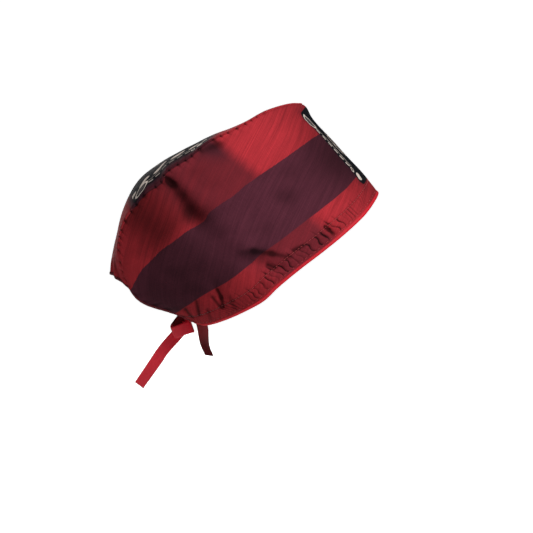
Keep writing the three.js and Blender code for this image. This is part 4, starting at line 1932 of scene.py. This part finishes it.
@dataclass
class Studio:
    """Pale floor with a curved backdrop, soft lights and the camera."""

    floor_height: float = -0.142
    reach: float = 7.0
    bend: float = 1.5
    tall: float = 9.0
    lens: float = 200.0
    sensor: float = 36.0
    frame_width: float = 0.533
    aim: tuple = (-0.026, 0.0, -0.0075)
    sky_seen: float = 1.1
    sky_cast: float = 0.08
    whites: tuple = (paint(240, 240, 240), paint(246, 246, 246))

    def camera(self) -> None:
        """Makes the camera, looking along +Y at the wearer's right side."""
        data = bpy.data.cameras.new("camera")
        data.lens = self.lens
        data.sensor_width = self.sensor
        data.clip_end = 100.0
        made = bpy.data.objects.new("camera", data)
        distance = self.frame_width * self.lens / self.sensor
        made.location = (self.aim[0], -distance, self.aim[2])
        made.rotation_euler = (math.radians(90), 0, 0)
        bpy.context.scene.collection.objects.link(made)
        bpy.context.scene.camera = made

    def backdrop(self) -> None:
        """Makes floor and backdrop in one: a flat floor, a quarter circle and a wall.

        The sheet shines white to the eye only, so that it casts no light on the cap.
        """
        turn = np.linspace(0, math.pi / 2, 24)
        rear = self.reach + np.sin(turn) * self.bend
        depth = np.concatenate([[-self.reach], rear, rear[-1:]])
        climb = np.concatenate([[0.0], self.bend * (1 - np.cos(turn)), [self.tall]])
        wide = np.array([-self.reach, self.reach])
        points = np.zeros((len(depth), 2, 3))
        points[..., 0] = wide
        points[..., 1] = depth[:, None]
        points[..., 2] = self.floor_height + climb[:, None]
        material, n, shader = new_finish("studio_white", (0.9, 0.9, 0.9, 1))
        cloudy = n.noise(n.add("TexCoord").outputs["Object"], 0.8, 2.0)
        n.put(shader.inputs["Base Color"], n.blend(cloudy, *self.whites))
        shader.inputs["Roughness"].default_value = 0.9
        shader.inputs["Emission Color"].default_value = (1, 1, 1, 1)
        seen = n.add("LightPath").outputs["Is Camera Ray"]
        n.put(shader.inputs["Emission Strength"], n.product(seen, 0.9))
        faces = grid_faces(len(depth), 2)
        made = Draft(points.reshape(-1, 3) / METRES, [faces]).to_object("studio_white", material)

    def light(self, name: str, place: Sequence[float], size: float, power: float) -> None:
        """Makes one square soft light aimed at the cap.

        Args:
            name: Its name.
            place: Where it stands, in metres.
            size: Its side, in metres.
            power: Its strength in watts.
        """
        data = bpy.data.lights.new(name, "AREA")
        data.size = size
        data.energy = power
        made = bpy.data.objects.new(name, data)
        made.visible_camera = False
        made.location = place
        aim = np.array(self.aim) - np.array(place)
        flat = math.hypot(aim[0], aim[1])
        made.rotation_euler = (math.atan2(flat, -aim[2]), 0, math.atan2(-aim[0], aim[1]))
        bpy.context.scene.collection.objects.link(made)

    def sky(self) -> None:
        """Makes the surroundings: white where seen, dimmer as a source of light."""
        world = bpy.data.worlds.new("studio")
        bpy.context.scene.world = world
        world.use_nodes = True
        n = NodeSheet(world.node_tree)
        background = world.node_tree.nodes["Background"]
        background.inputs["Color"].default_value = (1, 1, 1, 1)
        ray = n.add("LightPath").outputs["Is Camera Ray"]
        strength = n.line(ray, self.sky_seen - self.sky_cast, self.sky_cast)
        n.put(background.inputs["Strength"], strength)

    def build(self) -> None:
        """Makes everything in the studio."""
        self.camera()
        self.backdrop()
        self.sky()
        self.light("key", (0.9, -1.85, 2.15), size=1.2, power=84.0)
        self.light("far_side", (-1.1, 2.7, 0.7), size=1.8, power=45.0)
        bpy.context.scene.view_settings.view_transform = "Standard"


# ---------------------------------------------------------------- the whole cap


@dataclass(frozen=True)
class Wardrobe:
    """All the finishes of the cap, before they are made materials."""

    band: PrintedCotton = PrintedCotton("band_cotton")
    crown: PrintedCotton = PrintedCotton(
        "crown_cotton", halo=0.85, medallion_half=(49.0, 47.0), medallion_middle=175.0,
        medallion_taper=1.0, leaves=1.0, striped=False,
    )
    channel: WovenTape = WovenTape(
        "channel_cotton", paint(128, 44, 52), paint(96, 32, 40), roughness=0.8, sheen=0.2
    )
    binding: WovenTape = WovenTape("binding_tape")
    ties: WovenTape = WovenTape(
        "tie_tape", paint(212, 28, 48), paint(192, 22, 39), roughness=0.38, shine=0.3
    )
    # the rear binding's tape is painted darker than the hem binding as painted shade
    rear: WovenTape = WovenTape("rear_tape_painted_shade", paint(84, 17, 26), paint(62, 12, 19), 0.7)
    thread: SewingThread = SewingThread("red_thread")
    fine_thread: SewingThread = SewingThread(
        "binding_thread", paint(168, 26, 38), paint(120, 16, 26)
    )

    def materials(self) -> dict:
        """Every finish as a material, by its name here."""
        effects = Effects()
        return {key: finish.material(effects) for key, finish in vars(self).items()}


def main() -> None:
    """Builds the studio and the cap piece by piece."""
    logging.basicConfig(level=logging.INFO, format="%(name)s %(message)s")
    Studio().build()
    made_of = Wardrobe().materials()
    band, crown, bindings = SideBand(), Crown(), Bindings()
    made = [band.build(made_of["band"]), *band.stitches(made_of["thread"])]
    made += [crown.build(made_of["crown"]), *crown.welts(made_of["crown"])]
    made += [bindings.hem(made_of["binding"]), bindings.rear(made_of["rear"])]
    made += bindings.stitches(made_of["fine_thread"])
    made += [ElasticChannel(side).build(made_of["channel"]) for side in Side]
    made += Bow().build(made_of["ties"])


if __name__ == "__main__":
    main()
